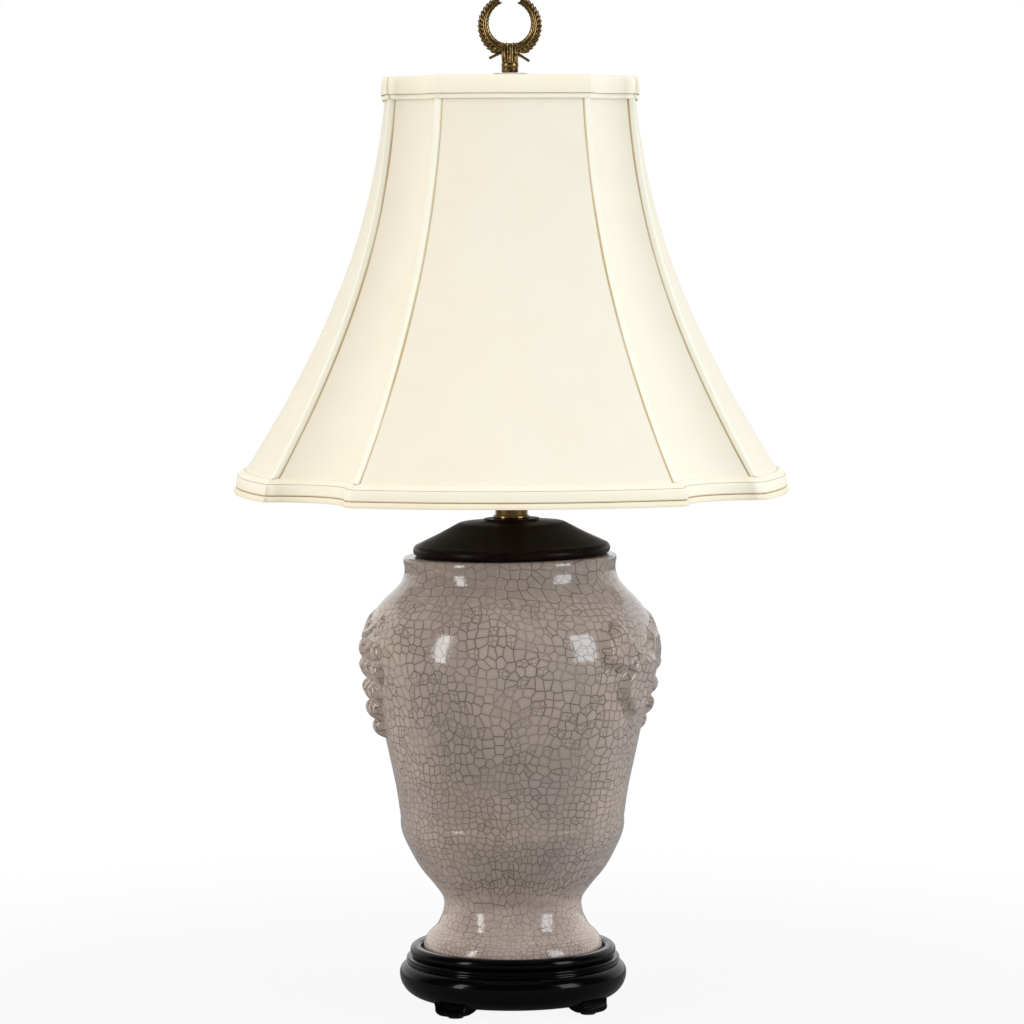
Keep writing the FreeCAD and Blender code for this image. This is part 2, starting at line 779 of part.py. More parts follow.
def make_saddle():
    """Flat steel strip with rounded ends, bored for the pipe, with a post at each end."""
    body = document.addObject("PartDesign::Body", "harp_saddle")
    strip = new_sketch(body, "saddle_strip", "XY_Plane", level.saddle)
    half, reach = size.saddle_width * 0.5, size.saddle_half_length - size.saddle_width * 0.5
    draw_outline(strip, [
        (reach * -1, half * -1),
        (reach, half * -1, "out", half * 1.0001),
        (reach, half),
        (reach * -1, half, "out", half * 1.0001),
    ])
    plate = body.newObject("PartDesign::Pad", "saddle_plate")
    plate.Profile = strip
    plate.setExpression("Length", size.saddle_thickness.text)
    body.Tip = plate
    document.recompute()
    posts = new_sketch(body, "saddle_posts_outline", "XY_Plane", level.saddle)
    for number, across in enumerate((size.harp_leg_offset * -1, size.harp_leg_offset)):
        middle = Vector(across.value, 0, 0)
        posts.addGeometry(Part.Circle(middle, Vector(0, 0, 1), mm.harp_wire_radius))
        place_point(posts, number, 3, across, as_size(0))
        constrain(posts, size.harp_wire_radius, "Radius", number)
    rise = body.newObject("PartDesign::Pad", "saddle_posts")
    rise.Profile = posts
    rise.setExpression("Length", (size.saddle_thickness + size.post_height).text)
    body.Tip = rise
    document.recompute()
    upright_hole(body, "saddle_hole", [(as_size(0), as_size(0))], size.pipe_radius + size.pipe_clearance,
                 level.saddle_top, size.saddle_thickness)
    return keep(body, "harp_saddle")


def harp_path():
    """Half of the harp in the XZ plane, on +X: leg, outward bend, splay and crown arc."""
    splay = math.radians(mm.harp_splay)
    crown_radius = mm.harp_half_width - mm.harp_crown_flat
    bend_end = mm.harp_leg_offset + mm.harp_bend_radius * (1 - math.cos(splay))
    splay_end = mm.harp_half_width - crown_radius * (1 - math.cos(splay))
    splay_length = (splay_end - bend_end) / math.sin(splay)
    crown = level.harp_crown.value
    crown_start = crown - crown_radius * (1 + math.sin(splay))
    bend_top = crown_start - splay_length * math.cos(splay)
    leg_top = bend_top - mm.harp_bend_radius * math.sin(splay)
    foot = level.saddle_top.value + mm.post_height
    bend_mid = Vector(mm.harp_leg_offset + mm.harp_bend_radius * (1 - math.cos(splay / 2)), 0,
                      leg_top + mm.harp_bend_radius * math.sin(splay / 2))
    centre = Vector(mm.harp_half_width - crown_radius, 0, crown - crown_radius)
    halfway = math.radians(45) - splay / 2
    crown_mid = centre + Vector(crown_radius * math.cos(halfway), 0, crown_radius * math.sin(halfway))
    points = [
        Vector(mm.harp_leg_offset, 0, foot),
        Vector(mm.harp_leg_offset, 0, leg_top),
        Vector(bend_end, 0, bend_top),
        Vector(splay_end, 0, crown_start),
        Vector(mm.harp_crown_flat, 0, crown),
    ]
    return [
        line(points[0], points[1]),
        arc(points[1], bend_mid, points[2]),
        line(points[2], points[3]),
        arc(points[3], crown_mid, points[4]),
    ]


def mirrored(shape):
    return shape.mirror(Vector(0, 0, 0), Vector(1, 0, 0))


def make_harp():
    half = harp_path()
    crown = half[-1].Vertexes[-1].Point
    bridge = line(crown, Vector(-crown.x, 0, crown.z))
    path = Part.Wire(Part.__sortEdges__(half + [bridge] + [mirrored(edge) for edge in half]))
    start = half[0].Vertexes[0].Point
    section = Part.Wire(Part.makeCircle(mm.harp_wire_radius, start, Vector(0, 0, 1)))
    bow = path.makePipeShell([section], True, True)
    return shaped("harp_bow", Part.Solid(bow) if bow.ShapeType == "Shell" else bow)


def make_stud(harp):
    """Seat clamped over the top of the harp, with the threaded stud above it."""
    crown, radius = level.harp_crown.value, mm.harp_wire_radius
    seat = Part.makeCylinder(mm.stud_seat_radius, 2 * radius + mm.stud_seat_height + 1,
                             Vector(0, 0, crown - radius - 1))
    stud = Part.makeCylinder(mm.stud_radius, mm.stud_length, Vector(0, 0, level.seat_top.value))
    channel = Part.makeCylinder(radius + 0.05, mm.stud_seat_radius * 4,
                                Vector(-mm.stud_seat_radius * 2, 0, crown), Vector(1, 0, 0))
    block = seat.cut(channel).cut(harp.Shape)
    return shaped("harp_stud", block.fuse(stud))


def make_ferrules():
    offset = size.harp_leg_offset
    for label, across in (("ferrule_left", offset * -1), ("ferrule_right", offset)):
        inner = size.harp_wire_radius + size.ferrule_clearance
        body = turned(label, [
            (inner, 0),
            (size.ferrule_radius - 0.6, 0),
            (size.ferrule_radius, 0.8),
            (size.ferrule_radius, size.ferrule_length - 0.8),
            (size.ferrule_radius - 0.6, size.ferrule_length),
            (inner, size.ferrule_length),
        ])
        body.setExpression(".Placement.Base.x", across.text)
        body.setExpression(".Placement.Base.z", (level.saddle_top + size.rest_gap).text)


# Socket and switch


def make_socket_cap():
    base = level.socket
    bore = size.pipe_radius + 0.05
    outer, wall = size.socket_cap_radius, size.socket_wall
    rise = base + size.socket_cap_rise
    boss_top = base + size.socket_boss_height
    body = turned("socket_cap", [
        (bore, base),
        (size.socket_boss_radius, base),
        (size.socket_boss_radius, boss_top, "out", size.socket_cap_round + 1.2),
        (outer, rise),
        (outer, base + size.socket_cap_height),
        (outer - wall, base + size.socket_cap_height),
        (outer - wall, rise, "in", size.socket_cap_round),
        (size.socket_boss_radius, boss_top + wall * 1.3),
        (bore, boss_top + wall * 1.3),
    ])
    document.recompute()
    side_hole(body, "cap_screw_hole", base + size.socket_boss_height * 0.5, size.cap_screw_radius + 0.03,
              size.socket_boss_radius + 2, False)
    return body


def make_cap_screw():
    """Grub screw through the boss of the socket cap, pointing at the pipe."""
    body = turned("cap_screw", [
        (0, size.pipe_radius + 0.1),
        (size.cap_screw_radius, size.pipe_radius + 0.1),
        (size.cap_screw_radius, size.pipe_radius + size.cap_screw_length),
        (0, size.pipe_radius + size.cap_screw_length),
    ])
    height = level.socket + size.socket_boss_height * 0.5
    body.Placement = Placement(Vector(0, 0, height.value), Rotation(Vector(1, 0, 0), -90))
    body.setExpression(".Placement.Base.z", height.text)


def make_socket_shell():
    low, high = level.socket + size.shell_start, level.socket + size.shell_end
    outer, wall = size.shell_radius, size.shell_wall
    body = turned("socket_shell", [
        (outer - wall, low),
        (outer, low),
        (outer, high - 6),
        (outer + 0.7, high - 5),
        (outer + 0.7, high - 3.5),
        (outer, high - 2.5),
        (outer, high),
        (outer - wall, high),
    ])
    document.recompute()
    side_hole(body, "shell_switch_hole", level.switch, size.switch_wall_hole, outer + 2, True)
    inner = size.liner_radius
    liner = tube("socket_liner", inner - size.liner_wall, inner, low + 0.8, high - 0.8)
    document.recompute()
    side_hole(liner, "liner_switch_hole", level.switch, size.switch_wall_hole, outer + 2, True)


def make_socket_block():
    """Insulating block with the lamp holder's screw shell and its contact on top."""
    body = turned("socket_body", [
        (0, level.block),
        (size.block_radius, level.block),
        (size.block_radius, level.block_top),
        (0, level.block_top),
    ])
    document.recompute()
    side_hole(body, "block_switch_hole", level.switch, size.switch_shaft_radius + size.switch_clearance,
              size.block_radius + 2, True, size.switch_shaft_start - 0.3)
    spots = [(size.terminal_offset * -1, as_size(0)), (size.terminal_offset, as_size(0))]
    upright_hole(body, "terminal_holes", spots, size.terminal_shank_radius + 0.05,
                 level.block + size.terminal_depth + 0.4, size.terminal_depth + 1)
    inner = size.bulb_cap_radius + size.bulb_thread_clearance
    tube("screw_shell", inner, size.thread_shell_radius, level.block_top,
         level.block_top + size.thread_shell_length)
    turned("centre_contact", [
        (0, level.block_top),
        (size.contact_radius, level.block_top),
        (size.contact_radius - 0.8, level.block_top + size.contact_thickness),
        (0, level.block_top + size.contact_thickness),
    ])


def make_terminals():
    screws = []
    head_low = level.block.value - mm.terminal_head_height
    for across in (-mm.terminal_offset, mm.terminal_offset):
        head_base = Vector(across, 0, head_low)
        head = Part.makeCylinder(mm.terminal_head_radius, mm.terminal_head_height, head_base)
        slot = Part.makeBox(mm.terminal_head_radius * 2, 0.8, 0.8,
                            Vector(across - mm.terminal_head_radius, -0.4, head_low))
        shank_base = Vector(across, 0, level.block.value)
        shank = Part.makeCylinder(mm.terminal_shank_radius, mm.terminal_depth, shank_base)
        screws.append(head.cut(slot).fuse(shank))
    return shaped("terminal_screws", Part.Compound(screws))


def face_front(body, height):
    """Lays an upright body along -Y at the given height."""
    body.Placement = Placement(Vector(0, 0, height.value), Rotation(Vector(1, 0, 0), 90))
    body.setExpression(".Placement.Base.z", height.text)


def make_switch():
    start, end = size.switch_knob_start, size.switch_knob_start + size.switch_knob_length
    shaft_end = end - size.switch_knob_cover
    shaft = turned("switch_shaft", [
        (0, size.switch_shaft_start),
        (size.switch_shaft_radius, size.switch_shaft_start),
        (size.switch_shaft_radius, shaft_end),
        (0, shaft_end),
    ])
    face_front(shaft, level.switch)
    seat = shaft_end + 0.1
    knob = turned("switch_knob", [
        (size.switch_shaft_radius + 0.05, start),
        (size.switch_knob_radius, start),
        (size.switch_knob_radius, start + 3),
        (size.switch_knob_end_radius, end - 1),
        (size.switch_knob_end_radius - 1, end),
        (0, end),
        (0, seat),
        (size.switch_shaft_radius + 0.05, seat),
    ])
    document.recompute()
    flute = new_sketch(knob, "knob_flute_outline", "XY_Plane", start + 3)
    middle = size.switch_knob_radius + 0.6
    flute.addGeometry(Part.Circle(Vector(middle.value, 0, 0), Vector(0, 0, 1), mm.knob_flute_radius))
    place_point(flute, 0, 3, middle, as_size(0))
    constrain(flute, size.knob_flute_radius, "Radius", 0)
    groove = knob.newObject("PartDesign::Pocket", "knob_flute")
    groove.Profile = flute
    groove.Reversed = True
    groove.setExpression("Length", size.switch_knob_length.text)
    flutes = knob.newObject("PartDesign::PolarPattern", "knob_flutes")
    flutes.Originals = [groove]
    flutes.Axis = (flute, ["N_Axis"])
    flutes.Angle = 360
    flutes.Occurrences = int(mm.knob_flute_count)
    knob.Tip = flutes
    face_front(knob, level.switch)


# Bulb


def make_bulb():
    base, shoulder = level.bulb, level.bulb_glass
    radius, wall = size.bulb_cap_radius, size.bulb_glass
    turned("bulb_screw_cap", [
        (size.bulb_contact_radius, base),
        (radius - 3, base + 1),
        (radius, base + 4),
        (radius, shoulder),
        (radius - 0.6, shoulder),
        (radius - 0.6, base + 4.4),
        (radius - 3.3, base + 1.8),
        (size.bulb_contact_radius, base + 0.8),
    ])
    turned("bulb_contact", [
        (0, base - size.bulb_contact_height),
        (size.bulb_contact_radius - 1.5, base - size.bulb_contact_height),
        (size.bulb_contact_radius, base),
        (size.bulb_contact_radius, base + 0.8),
        (0, base + 0.8),
    ])
    flat = size.bulb_crown_flat
    globe = size.bulb_radius - flat
    inside = globe - wall
    middle = base + size.bulb_centre_rise
    waist = shoulder + size.bulb_neck_height
    turned("bulb_globe", [
        (radius - 1.4, shoulder),
        (radius - 0.2, shoulder),
        (size.bulb_neck_radius, waist, "in", globe * 3),
        (flat + globe * 0.9, middle - globe * 0.43589, "out", globe),
        (flat, middle + globe),
        (0, middle + globe),
        (0, middle + inside),
        (flat, middle + inside, "in", inside),
        (flat + inside * 0.9, middle - inside * 0.43589, "out", globe * 3 + wall),
        (size.bulb_neck_radius - wall, waist),
    ])


# Shade


def share(start, end, part):
    return start + (end - start) * part


def flare(fall, bend):
    """How much of its flare the bell has reached, at a share of the way down."""
    return (1 - bend) * fall + bend * fall * fall


def turn_point(point, quarter):
    """Point moved clockwise, seen from above, by a number of quarter turns."""
    for _ in range(quarter):
        point = Vector(point.y, -point.x, point.z)
    return point


def rim(height, inset):
    """Plan of the shade at a height, moved inwards by inset: the +Y side and the corner after it."""
    fall = (level.shade_top.value - height) / mm.shade_height
    half = share(mm.shade_top_half, mm.shade_bottom_half, flare(fall, mm.shade_bend))
    reach = flare(fall, mm.rib_bend)
    short = share(mm.rib_top_short, mm.rib_bottom_short, reach)
    long = share(mm.rib_top_long, mm.rib_bottom_long, reach)
    scallop = share(mm.scallop_top, mm.scallop_bottom, reach)
    bow = half - long
    side_radius = (short ** 2 + bow ** 2) / (2 * bow)
    side_centre = Vector(0, half - side_radius, 0)
    half_chord = (long - short) / math.sqrt(2)
    corner_radius = (half_chord ** 2 + scallop ** 2) / (2 * scallop)
    deep = (long + short) / math.sqrt(2) - scallop
    corner_centre = Vector(1, 1, 0) * ((deep + corner_radius) / math.sqrt(2))
    corner = circles_meet(side_centre, side_radius - inset, corner_centre, corner_radius + inset)
    lift = Vector(0, 0, height)
    return SimpleNamespace(
        corner=corner + lift,
        far_corner=Vector(corner.y, corner.x, 0) + lift,
        side=Vector(0, half - inset, 0) + lift,
        scallop=Vector(1, 1, 0) * ((deep - inset) / math.sqrt(2)) + lift,
        side_centre=side_centre + lift,
        corner_centre=corner_centre + lift,
    )


def circles_meet(first, first_radius, second, second_radius):
    """The crossing of two circles that lies to the left of the way from the second to the first."""
    gap = (second - first).Length
    along = (gap ** 2 + first_radius ** 2 - second_radius ** 2) / (2 * gap)
    off = math.sqrt(first_radius ** 2 - along ** 2)
    way = (second - first).normalize()
    return first + way * along + Vector(-way.y, way.x, 0) * off


def side_arc(plan, quarter):
    left = Vector(-plan.corner.x, plan.corner.y, plan.corner.z)
    points = [turn_point(point, quarter) for point in (left, plan.side, plan.corner)]
    return arc(*points)


def corner_arc(plan, quarter):
    points = [turn_point(point, quarter) for point in (plan.corner, plan.scallop, plan.far_corner)]
    return arc(*points)


def rim_edges(height, inset):
    plan = rim(height, inset)
    edges = []
    for quarter in range(4):
        edges.append(side_arc(plan, quarter))
        edges.append(corner_arc(plan, quarter))
    return edges


def filled(sections, faceted=False):
    """Solid whose outline runs through (height, inset) sections of the shade, smoothly or in facets."""
    return Part.makeLoft([Part.Wire(rim_edges(height, inset)) for height, inset in sections], True, faceted)


def heights_between(low, high, count=7):
    return [share(low, high, number / (count - 1)) for number in range(count)]


def skin_panel(side, low, high, thickness, quarter):
    """One panel of fabric: two arcs joined at their ends, lofted up the bell."""
    wires = []
    for height in heights_between(low, high):
        outer = side(rim(height, 0), quarter)
        inner = side(rim(height, thickness), quarter)
        starts = [edge.valueAt(edge.FirstParameter) for edge in (outer, inner)]
        ends = [edge.valueAt(edge.LastParameter) for edge in (outer, inner)]
        wires.append(Part.Wire([outer, line(ends[0], ends[1]), inner, line(starts[1], starts[0])]))
    return Part.makeLoft(wires, True)


def make_panels():
    hem = mm.hem_thickness + mm.trim_gap
    low, high = level.shade_top.value - mm.shade_height + hem, level.shade_top.value - hem
    sides = ("back", "right", "front", "left")
    corners = ("back_right", "front_right", "front_left", "back_left")
    for quarter in range(4):
        side = skin_panel(side_arc, low, high, mm.fabric_thickness, quarter)
        shaped("side_panel_" + sides[quarter], side)
        corner = skin_panel(corner_arc, low, high, mm.fabric_thickness, quarter)
        shaped("corner_panel_" + corners[quarter], corner)
    heights = heights_between(low, high)
    outer = filled([(height, mm.lining_inset) for height in heights])
    beyond = heights_between(low - 1, high + 1)
    inner = filled([(height, mm.lining_inset + mm.lining_thickness) for height in beyond])
    holes = round_copies(spider_arm(mm.rest_gap), 4, 90)
    shaped("shade_lining", outer.cut(inner).cut(Part.Compound(holes)))


def rod(edge, radius):
    start = edge.valueAt(edge.FirstParameter)
    section = Part.Wire(Part.makeCircle(radius, start, edge.tangentAt(edge.FirstParameter)))
    return Part.Wire(edge).makePipeShell([section], True, True)


def ring_wire(label, height):
    """Welded wire that follows the shade's plan, with a ball of weld at each corner."""
    edges = rim_edges(height, mm.frame_inset)
    rods = [rod(edge, mm.frame_wire_radius) for edge in edges]
    starts = [edge.valueAt(edge.FirstParameter) for edge in edges]
    welds = [Part.makeSphere(mm.frame_wire_radius * 1.05, start) for start in starts]
    return shaped(label, rods[0].multiFuse(rods[1:] + welds))


def eight_of(shape):
    """The shape and its mirror twin, repeated on the four sides of the shade."""
    return Part.Compound(round_copies(shape, 4, 90) + round_copies(mirrored(shape), 4, 90))


def rib(low, high):
    """One rib of the bell between two heights: two arcs of wire with a ball where they meet."""
    points = [rim(height, mm.frame_inset).corner for height in heights_between(low, high, 5)]
    lower = rod(arc(*points[:3]), mm.frame_wire_radius)
    upper = rod(arc(*points[2:]), mm.frame_wire_radius)
    return lower.multiFuse([upper, Part.makeSphere(mm.frame_wire_radius * 1.05, points[2])])


def make_frame():
    top = level.shade_top.value
    ring_high = top - mm.frame_wire_drop
    ring_low = top - mm.shade_height + mm.frame_wire_drop
    top_ring = ring_wire("top_ring", ring_high)
    ring_wire("bottom_ring", ring_low)
    clear = mm.frame_wire_radius * 1.05 + 0.15
    shaped("rib_wires", eight_of(rib(ring_low + clear, ring_high - clear)))
    make_spider(top_ring)


def spider_arm(extra=0.0):
    """Rod from under the hub to the back of the top ring, swollen by extra."""
    start = Vector(0, mm.hub_radius * 0.62, level.hub.value - mm.arm_radius)
    end = rim(level.shade_top.value - mm.frame_wire_drop, mm.frame_inset).side
    return Part.makeCylinder(mm.arm_radius + extra, (end - start).Length, start, end - start)


def make_spider(top_ring):
    bore = size.stud_radius + size.hub_clearance
    hub = tube("spider_hub", bore, size.hub_radius, level.hub, level.hub_top)
    document.recompute()
    arm = spider_arm().cut(hub.Shape).cut(top_ring.Shape)
    arm = max(arm.Solids, key=lambda solid: solid.Volume)
    return shaped("spider_arms", Part.Compound(round_copies(arm, 4, 90)))


def strip_section(height):
    """Bent tape over a rib: a short reach onto the side panel and one onto the corner panel."""
    rows = []
    for stand_off in (mm.trim_gap + mm.strip_thickness, mm.trim_gap):
        plan = rim(height, -stand_off)
        onto_side = swing(plan.corner, plan.side_centre, mm.strip_reach)
        onto_corner = swing(plan.corner, plan.corner_centre, mm.strip_reach)
        rows.append([onto_side, plan.corner, onto_corner])
    return Part.makePolygon(rows[0] + rows[1][::-1] + [rows[0][0]])


def swing(point, centre, distance):
    """Point moved counter-clockwise round a centre by a distance along the arc."""
    arm = point - centre
    angle = distance / arm.Length
    return centre + Vector(arm.x * math.cos(angle) - arm.y * math.sin(angle),
                           arm.x * math.sin(angle) + arm.y * math.cos(angle), 0)


def make_strips(low, high):
    strip = Part.makeLoft([strip_section(height) for height in heights_between(low, high)], True)
    return shaped("rib_strips", eight_of(strip))


def band(low, high, edge, crown):
    """Padded tape round the shade, proud of the fabric by edge at its sides and crown between."""
    outer, inner = [], []
    for rise, fullness in tape_crown:
        height = share(low, high, rise)
        outer.append((height, -share(edge, crown, fullness)))
        inner.append((height, -mm.trim_gap))
    return filled(outer, True).cut(filled(inner, True))


def hem(low, high, edge):
    """Flat hem that closes the space between the fabric and the lining."""
    outer = filled([(low, -edge), (high, -edge)])
    inner = filled([(low - 1, mm.hem_inset), (high + 1, mm.hem_inset)])
    return outer.cut(inner)


def make_trims():
    top = level.shade_top.value
    bottom = top - mm.shade_height
    top_low = top - mm.top_trim_height
    upper = band(top_low, top - mm.hem_thickness, mm.top_trim_edge, mm.top_trim_crown)
    shaped("top_trim", upper.fuse(hem(top - mm.hem_thickness, top, mm.top_trim_edge)))
    piping_low = top_low - mm.seam_gap - mm.top_piping_height
    piping = band(piping_low, top_low - mm.seam_gap, 1.1, mm.top_piping_crown)
    shaped("top_piping", piping)
    roll_top = bottom + mm.bottom_roll_height
    roll = band(bottom + mm.hem_thickness, roll_top, 1.2, mm.bottom_roll_crown)
    shaped("bottom_roll", roll.fuse(hem(bottom, bottom + mm.hem_thickness, 1.2)))
    trim_low = roll_top + mm.seam_gap
    trim_high = trim_low + mm.bottom_trim_height
    shaped("bottom_trim", band(trim_low, trim_high, 1.2, mm.bottom_trim_crown))
    lip_low = trim_high + mm.seam_gap
    lip_high = lip_low + mm.bottom_lip_height
    shaped("bottom_lip", band(lip_low, lip_high, 0.8, mm.bottom_lip_crown))
    make_strips(lip_high + mm.seam_gap, piping_low - mm.seam_gap)


# Finial


def make_finial():
    base = level.finial
    bore = size.stud_radius + size.finial_thread_clearance
    top = base + size.finial_collar_height
    radius = size.finial_radius
    turned("finial_collar", [
        (bore, base),
        (radius - 0.5, base),
        (radius, base + 0.6, "out", as_size(1.4)),
        (radius, base + 2.6),
        (radius - 0.4, base + 3.2),
        (radius, base + 3.8),
        (radius, top),
        (0, top),
        (0, base + size.finial_bore_depth),
        (bore, base + size.finial_bore_depth),
    ])
    shaped("finial_wreath", wreath_shape(top.value))


def wreath_point(radius, degrees, centre):
    angle = math.radians(degrees)
    return Vector(radius * math.cos(angle), 0, centre + radius * math.sin(angle))


def wreath_arm(centre):
    """Branch of laurel leaves on +X, rising from the knot to a tip beside the gap."""
    start, end = -66.0, 90.0 - mm.wreath_gap
    step = (end - start) / (wreath_leaves + 1)
    outer = [wreath_point(mm.wreath_radius - mm.wreath_valley, start, centre)]
    for number in range(wreath_leaves):
        tip = start + (number + 1) * step
        outer.append(wreath_point(mm.wreath_radius, tip, centre))
        outer.append(wreath_point(mm.wreath_radius - mm.wreath_valley, tip + step * 0.15, centre))
    tip = wreath_point((mm.wreath_radius + mm.wreath_inner_radius) / 2, end + 3, centre)
    inner = arc(wreath_point(mm.wreath_inner_radius + 1.6, end - 4, centre),
                wreath_point(mm.wreath_inner_radius, (start + end) / 2, centre),
                wreath_point(mm.wreath_inner_radius, start, centre))
    polygon = Part.makePolygon(outer + [tip, inner.valueAt(inner.FirstParameter)])
    closing = line(inner.valueAt(inner.LastParameter), outer[0])
    face = Part.Face(Part.Wire(polygon.Edges + [inner, closing]))
    blade = face.extrude(Vector(0, mm.wreath_thickness, 0))
    blade.translate(Vector(0, -mm.wreath_thickness / 2, 0))
    middle = (mm.wreath_radius + mm.wreath_inner_radius) / 2
    rib = arc(wreath_point(middle, start - 6, centre), wreath_point(middle, 0, centre),
              wreath_point(middle, end - 6, centre))
    return [blade, rod(rib, mm.wreath_rib_radius)]


def wreath_shape(base):
    """Laurel wreath with its knot, stem and two cut twigs."""
    centre = base - mm.finial_collar_height + mm.wreath_rise
    radius = mm.finial_radius
    knot = centre - (mm.wreath_radius + mm.wreath_inner_radius) / 2 + 2
    stem = Part.makeCylinder(radius, knot - base, Vector(0, 0, base))
    pieces = [stem, Part.makeSphere(radius, Vector(0, 0, knot))]
    for piece in wreath_arm(centre):
        pieces.append(piece)
        pieces.append(mirrored(piece))
    for across in (-1, 1):
        way = Vector(across * 0.88, 0, -0.47)
        pieces.append(Part.makeCylinder(mm.twig_radius, radius * 2.4, Vector(0, 0, knot), way))
    return pieces[0].multiFuse(pieces[1:])


def check_and_write():
    """Stops on any failed object, then writes one file for each sub-part."""
    document.recompute()
    for item in document.Objects:
        if "Invalid" in item.State or "Error" in item.State:
            raise ValueError(item.Name + " failed: " + ", ".join(item.State))
    os.makedirs("parts", exist_ok=True)
    for label, piece in subparts.items():
        if piece.Shape.isNull() or not piece.Shape.isValid() or not piece.Shape.Solids:
            raise ValueError(label + " has no sound shape")
    for label, piece in subparts.items():
        piece.Shape.exportStep("parts/" + label + ".step")
        print(label, len(piece.Shape.Solids), "solids", round(piece.Shape.Volume / 1000, 2), "cm3")


stand = make_stand()
make_feet(stand)
make_pads()
make_inlet()
make_pipe_hardware()
make_vase()
vase_core = vase_block()
make_sprig("sprig_right", mm.sprig_right_turn, vase_core)
make_sprig("sprig_left", mm.sprig_left_turn, vase_core)
make_cap()
make_neck()
make_saddle()
harp = make_harp()
make_stud(harp)
make_ferrules()
make_socket_cap()
make_cap_screw()
make_socket_shell()
make_socket_block()
make_terminals()
make_switch()
make_bulb()
make_panels()
make_frame()
make_trims()
make_finial()
check_and_write()
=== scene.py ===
import math
import random

import bmesh
import bpy
from mathutils import Matrix, Quaternion, Vector, noise
from mathutils.geometry import interpolate_bezier


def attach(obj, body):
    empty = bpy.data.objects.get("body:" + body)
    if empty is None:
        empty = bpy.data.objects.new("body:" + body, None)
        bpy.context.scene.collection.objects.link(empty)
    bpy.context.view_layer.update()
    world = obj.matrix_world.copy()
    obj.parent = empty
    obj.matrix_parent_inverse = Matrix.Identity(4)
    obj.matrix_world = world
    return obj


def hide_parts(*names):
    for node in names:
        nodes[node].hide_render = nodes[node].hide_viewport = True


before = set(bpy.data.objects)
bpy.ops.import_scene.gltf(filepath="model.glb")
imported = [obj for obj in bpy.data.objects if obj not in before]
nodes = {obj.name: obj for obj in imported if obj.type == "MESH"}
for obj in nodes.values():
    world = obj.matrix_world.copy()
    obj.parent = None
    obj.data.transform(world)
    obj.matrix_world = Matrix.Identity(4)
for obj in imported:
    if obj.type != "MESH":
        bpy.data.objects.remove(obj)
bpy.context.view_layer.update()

# Table lamp: crackle-glazed vase on a lacquered stand, cut-corner bell shade, wreath finial.
# Metres, +Z up, front towards -Y. Settings in millimetres say so; names ending in Z are heights in metres.

scene = bpy.context.scene
scene.view_settings.view_transform = "Standard"
random.seed(11)
millimetre = 0.001
skinRadius = 0.100  # the crackle is laid out as on a jar of this radius all the way up


def screenColour(red, green, blue):
    # a colour as seen on screen, 0 to 255, turned into the linear one a shader takes
    def linear(value):
        value /= 255
        return value / 12.92 if value <= 0.04045 else ((value + 0.055) / 1.055) ** 2.4
    return (linear(red), linear(green), linear(blue), 1)


def fade(low, high, value):
    t = min(max((value - low) / (high - low), 0), 1)
    return t * t * (3 - 2 * t)


def between(ends, share):
    return ends[0] + (ends[1] - ends[0]) * share


def waver(*place):
    return noise.noise(Vector(place))


def smoothThrough(points, steps):
    # a smooth line through the points, each stretch cut into the given number of steps
    line = []
    last = len(points) - 1
    for i in range(last):
        start, end = points[i], points[i + 1]
        reach = (end - start).length / 3
        into = (end - points[max(i - 1, 0)]).normalized() * reach
        out = (points[min(i + 2, last)] - start).normalized() * reach
        line += interpolate_bezier(start, start + into, end - out, end, steps + 1)[:steps]
    return line + [points[-1]]


def asObject(name, bm):
    mesh = bpy.data.meshes.new(name)
    bm.to_mesh(mesh)
    bm.free()
    made = bpy.data.objects.new(name, mesh)
    scene.collection.objects.link(made)
    return made


def makePiece(name, bm, material, body, replaced, sharpAngle=None):
    piece = asObject(name, bm)
    piece.data.materials.append(material)
    for polygon in piece.data.polygons:
        polygon.use_smooth = True
    if sharpAngle:
        piece.data.set_sharp_from_angle(angle=math.radians(sharpAngle))
    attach(piece, body)
    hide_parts(*replaced)
    return piece


def measureLayer(bm):
    # the UV map that holds distances over a cloth or a glaze, in metres
    return bm.loops.layers.uv.get("measure") or bm.loops.layers.uv.new("measure")


def shapedGrid(bm, columns, rows, place):
    # a grid laid onto a surface: place(u, v) gives a point and its two distances over the cloth
    layer = measureLayer(bm)
    made = bmesh.ops.create_grid(bm, x_segments=columns, y_segments=rows, size=1)["verts"]
    spots = {}
    for vert in made:
        u = round((vert.co.x + 1) / 2 * columns) / columns
        v = round((vert.co.y + 1) / 2 * rows) / rows
        spots[vert] = place(u, v)
    for face in {face for vert in made for face in vert.link_faces}:
        for loop in face.loops:
            loop[layer].uv = spots[loop.vert][1:]
    for vert in made:
        vert.co = spots[vert][0]
    return made


def closeUp(bm, distance=1e-5, fillEnds=False):
    bmesh.ops.remove_doubles(bm, verts=bm.verts, dist=distance)
    if fillEnds:
        bmesh.ops.holes_fill(bm, edges=[edge for edge in bm.edges if edge.is_boundary], sides=0)
    bmesh.ops.recalc_face_normals(bm, faces=bm.faces)


def spinProfile(profile, steps):
    # a closed profile of (radius, height) turned about the lamp's axis
    bm = bmesh.new()
    verts = [bm.verts.new((radius, 0, height)) for radius, height in profile]
    edges = [bm.edges.new((verts[i - 1], verts[i])) for i in range(len(verts))]
    bmesh.ops.spin(bm, geom=verts + edges, cent=(0, 0, 0), axis=(0, 0, 1),
                   angle=math.tau, steps=steps, use_merge=True)
    closeUp(bm, 1e-6)
    return bm


def feed(node, inputs):
    # each input takes either another node's socket or a plain value
    for key, value in inputs.items():
        if isinstance(value, bpy.types.NodeSocket):
            node.id_data.links.new(value, node.inputs[key])
        else:
            node.inputs[key].default_value = value


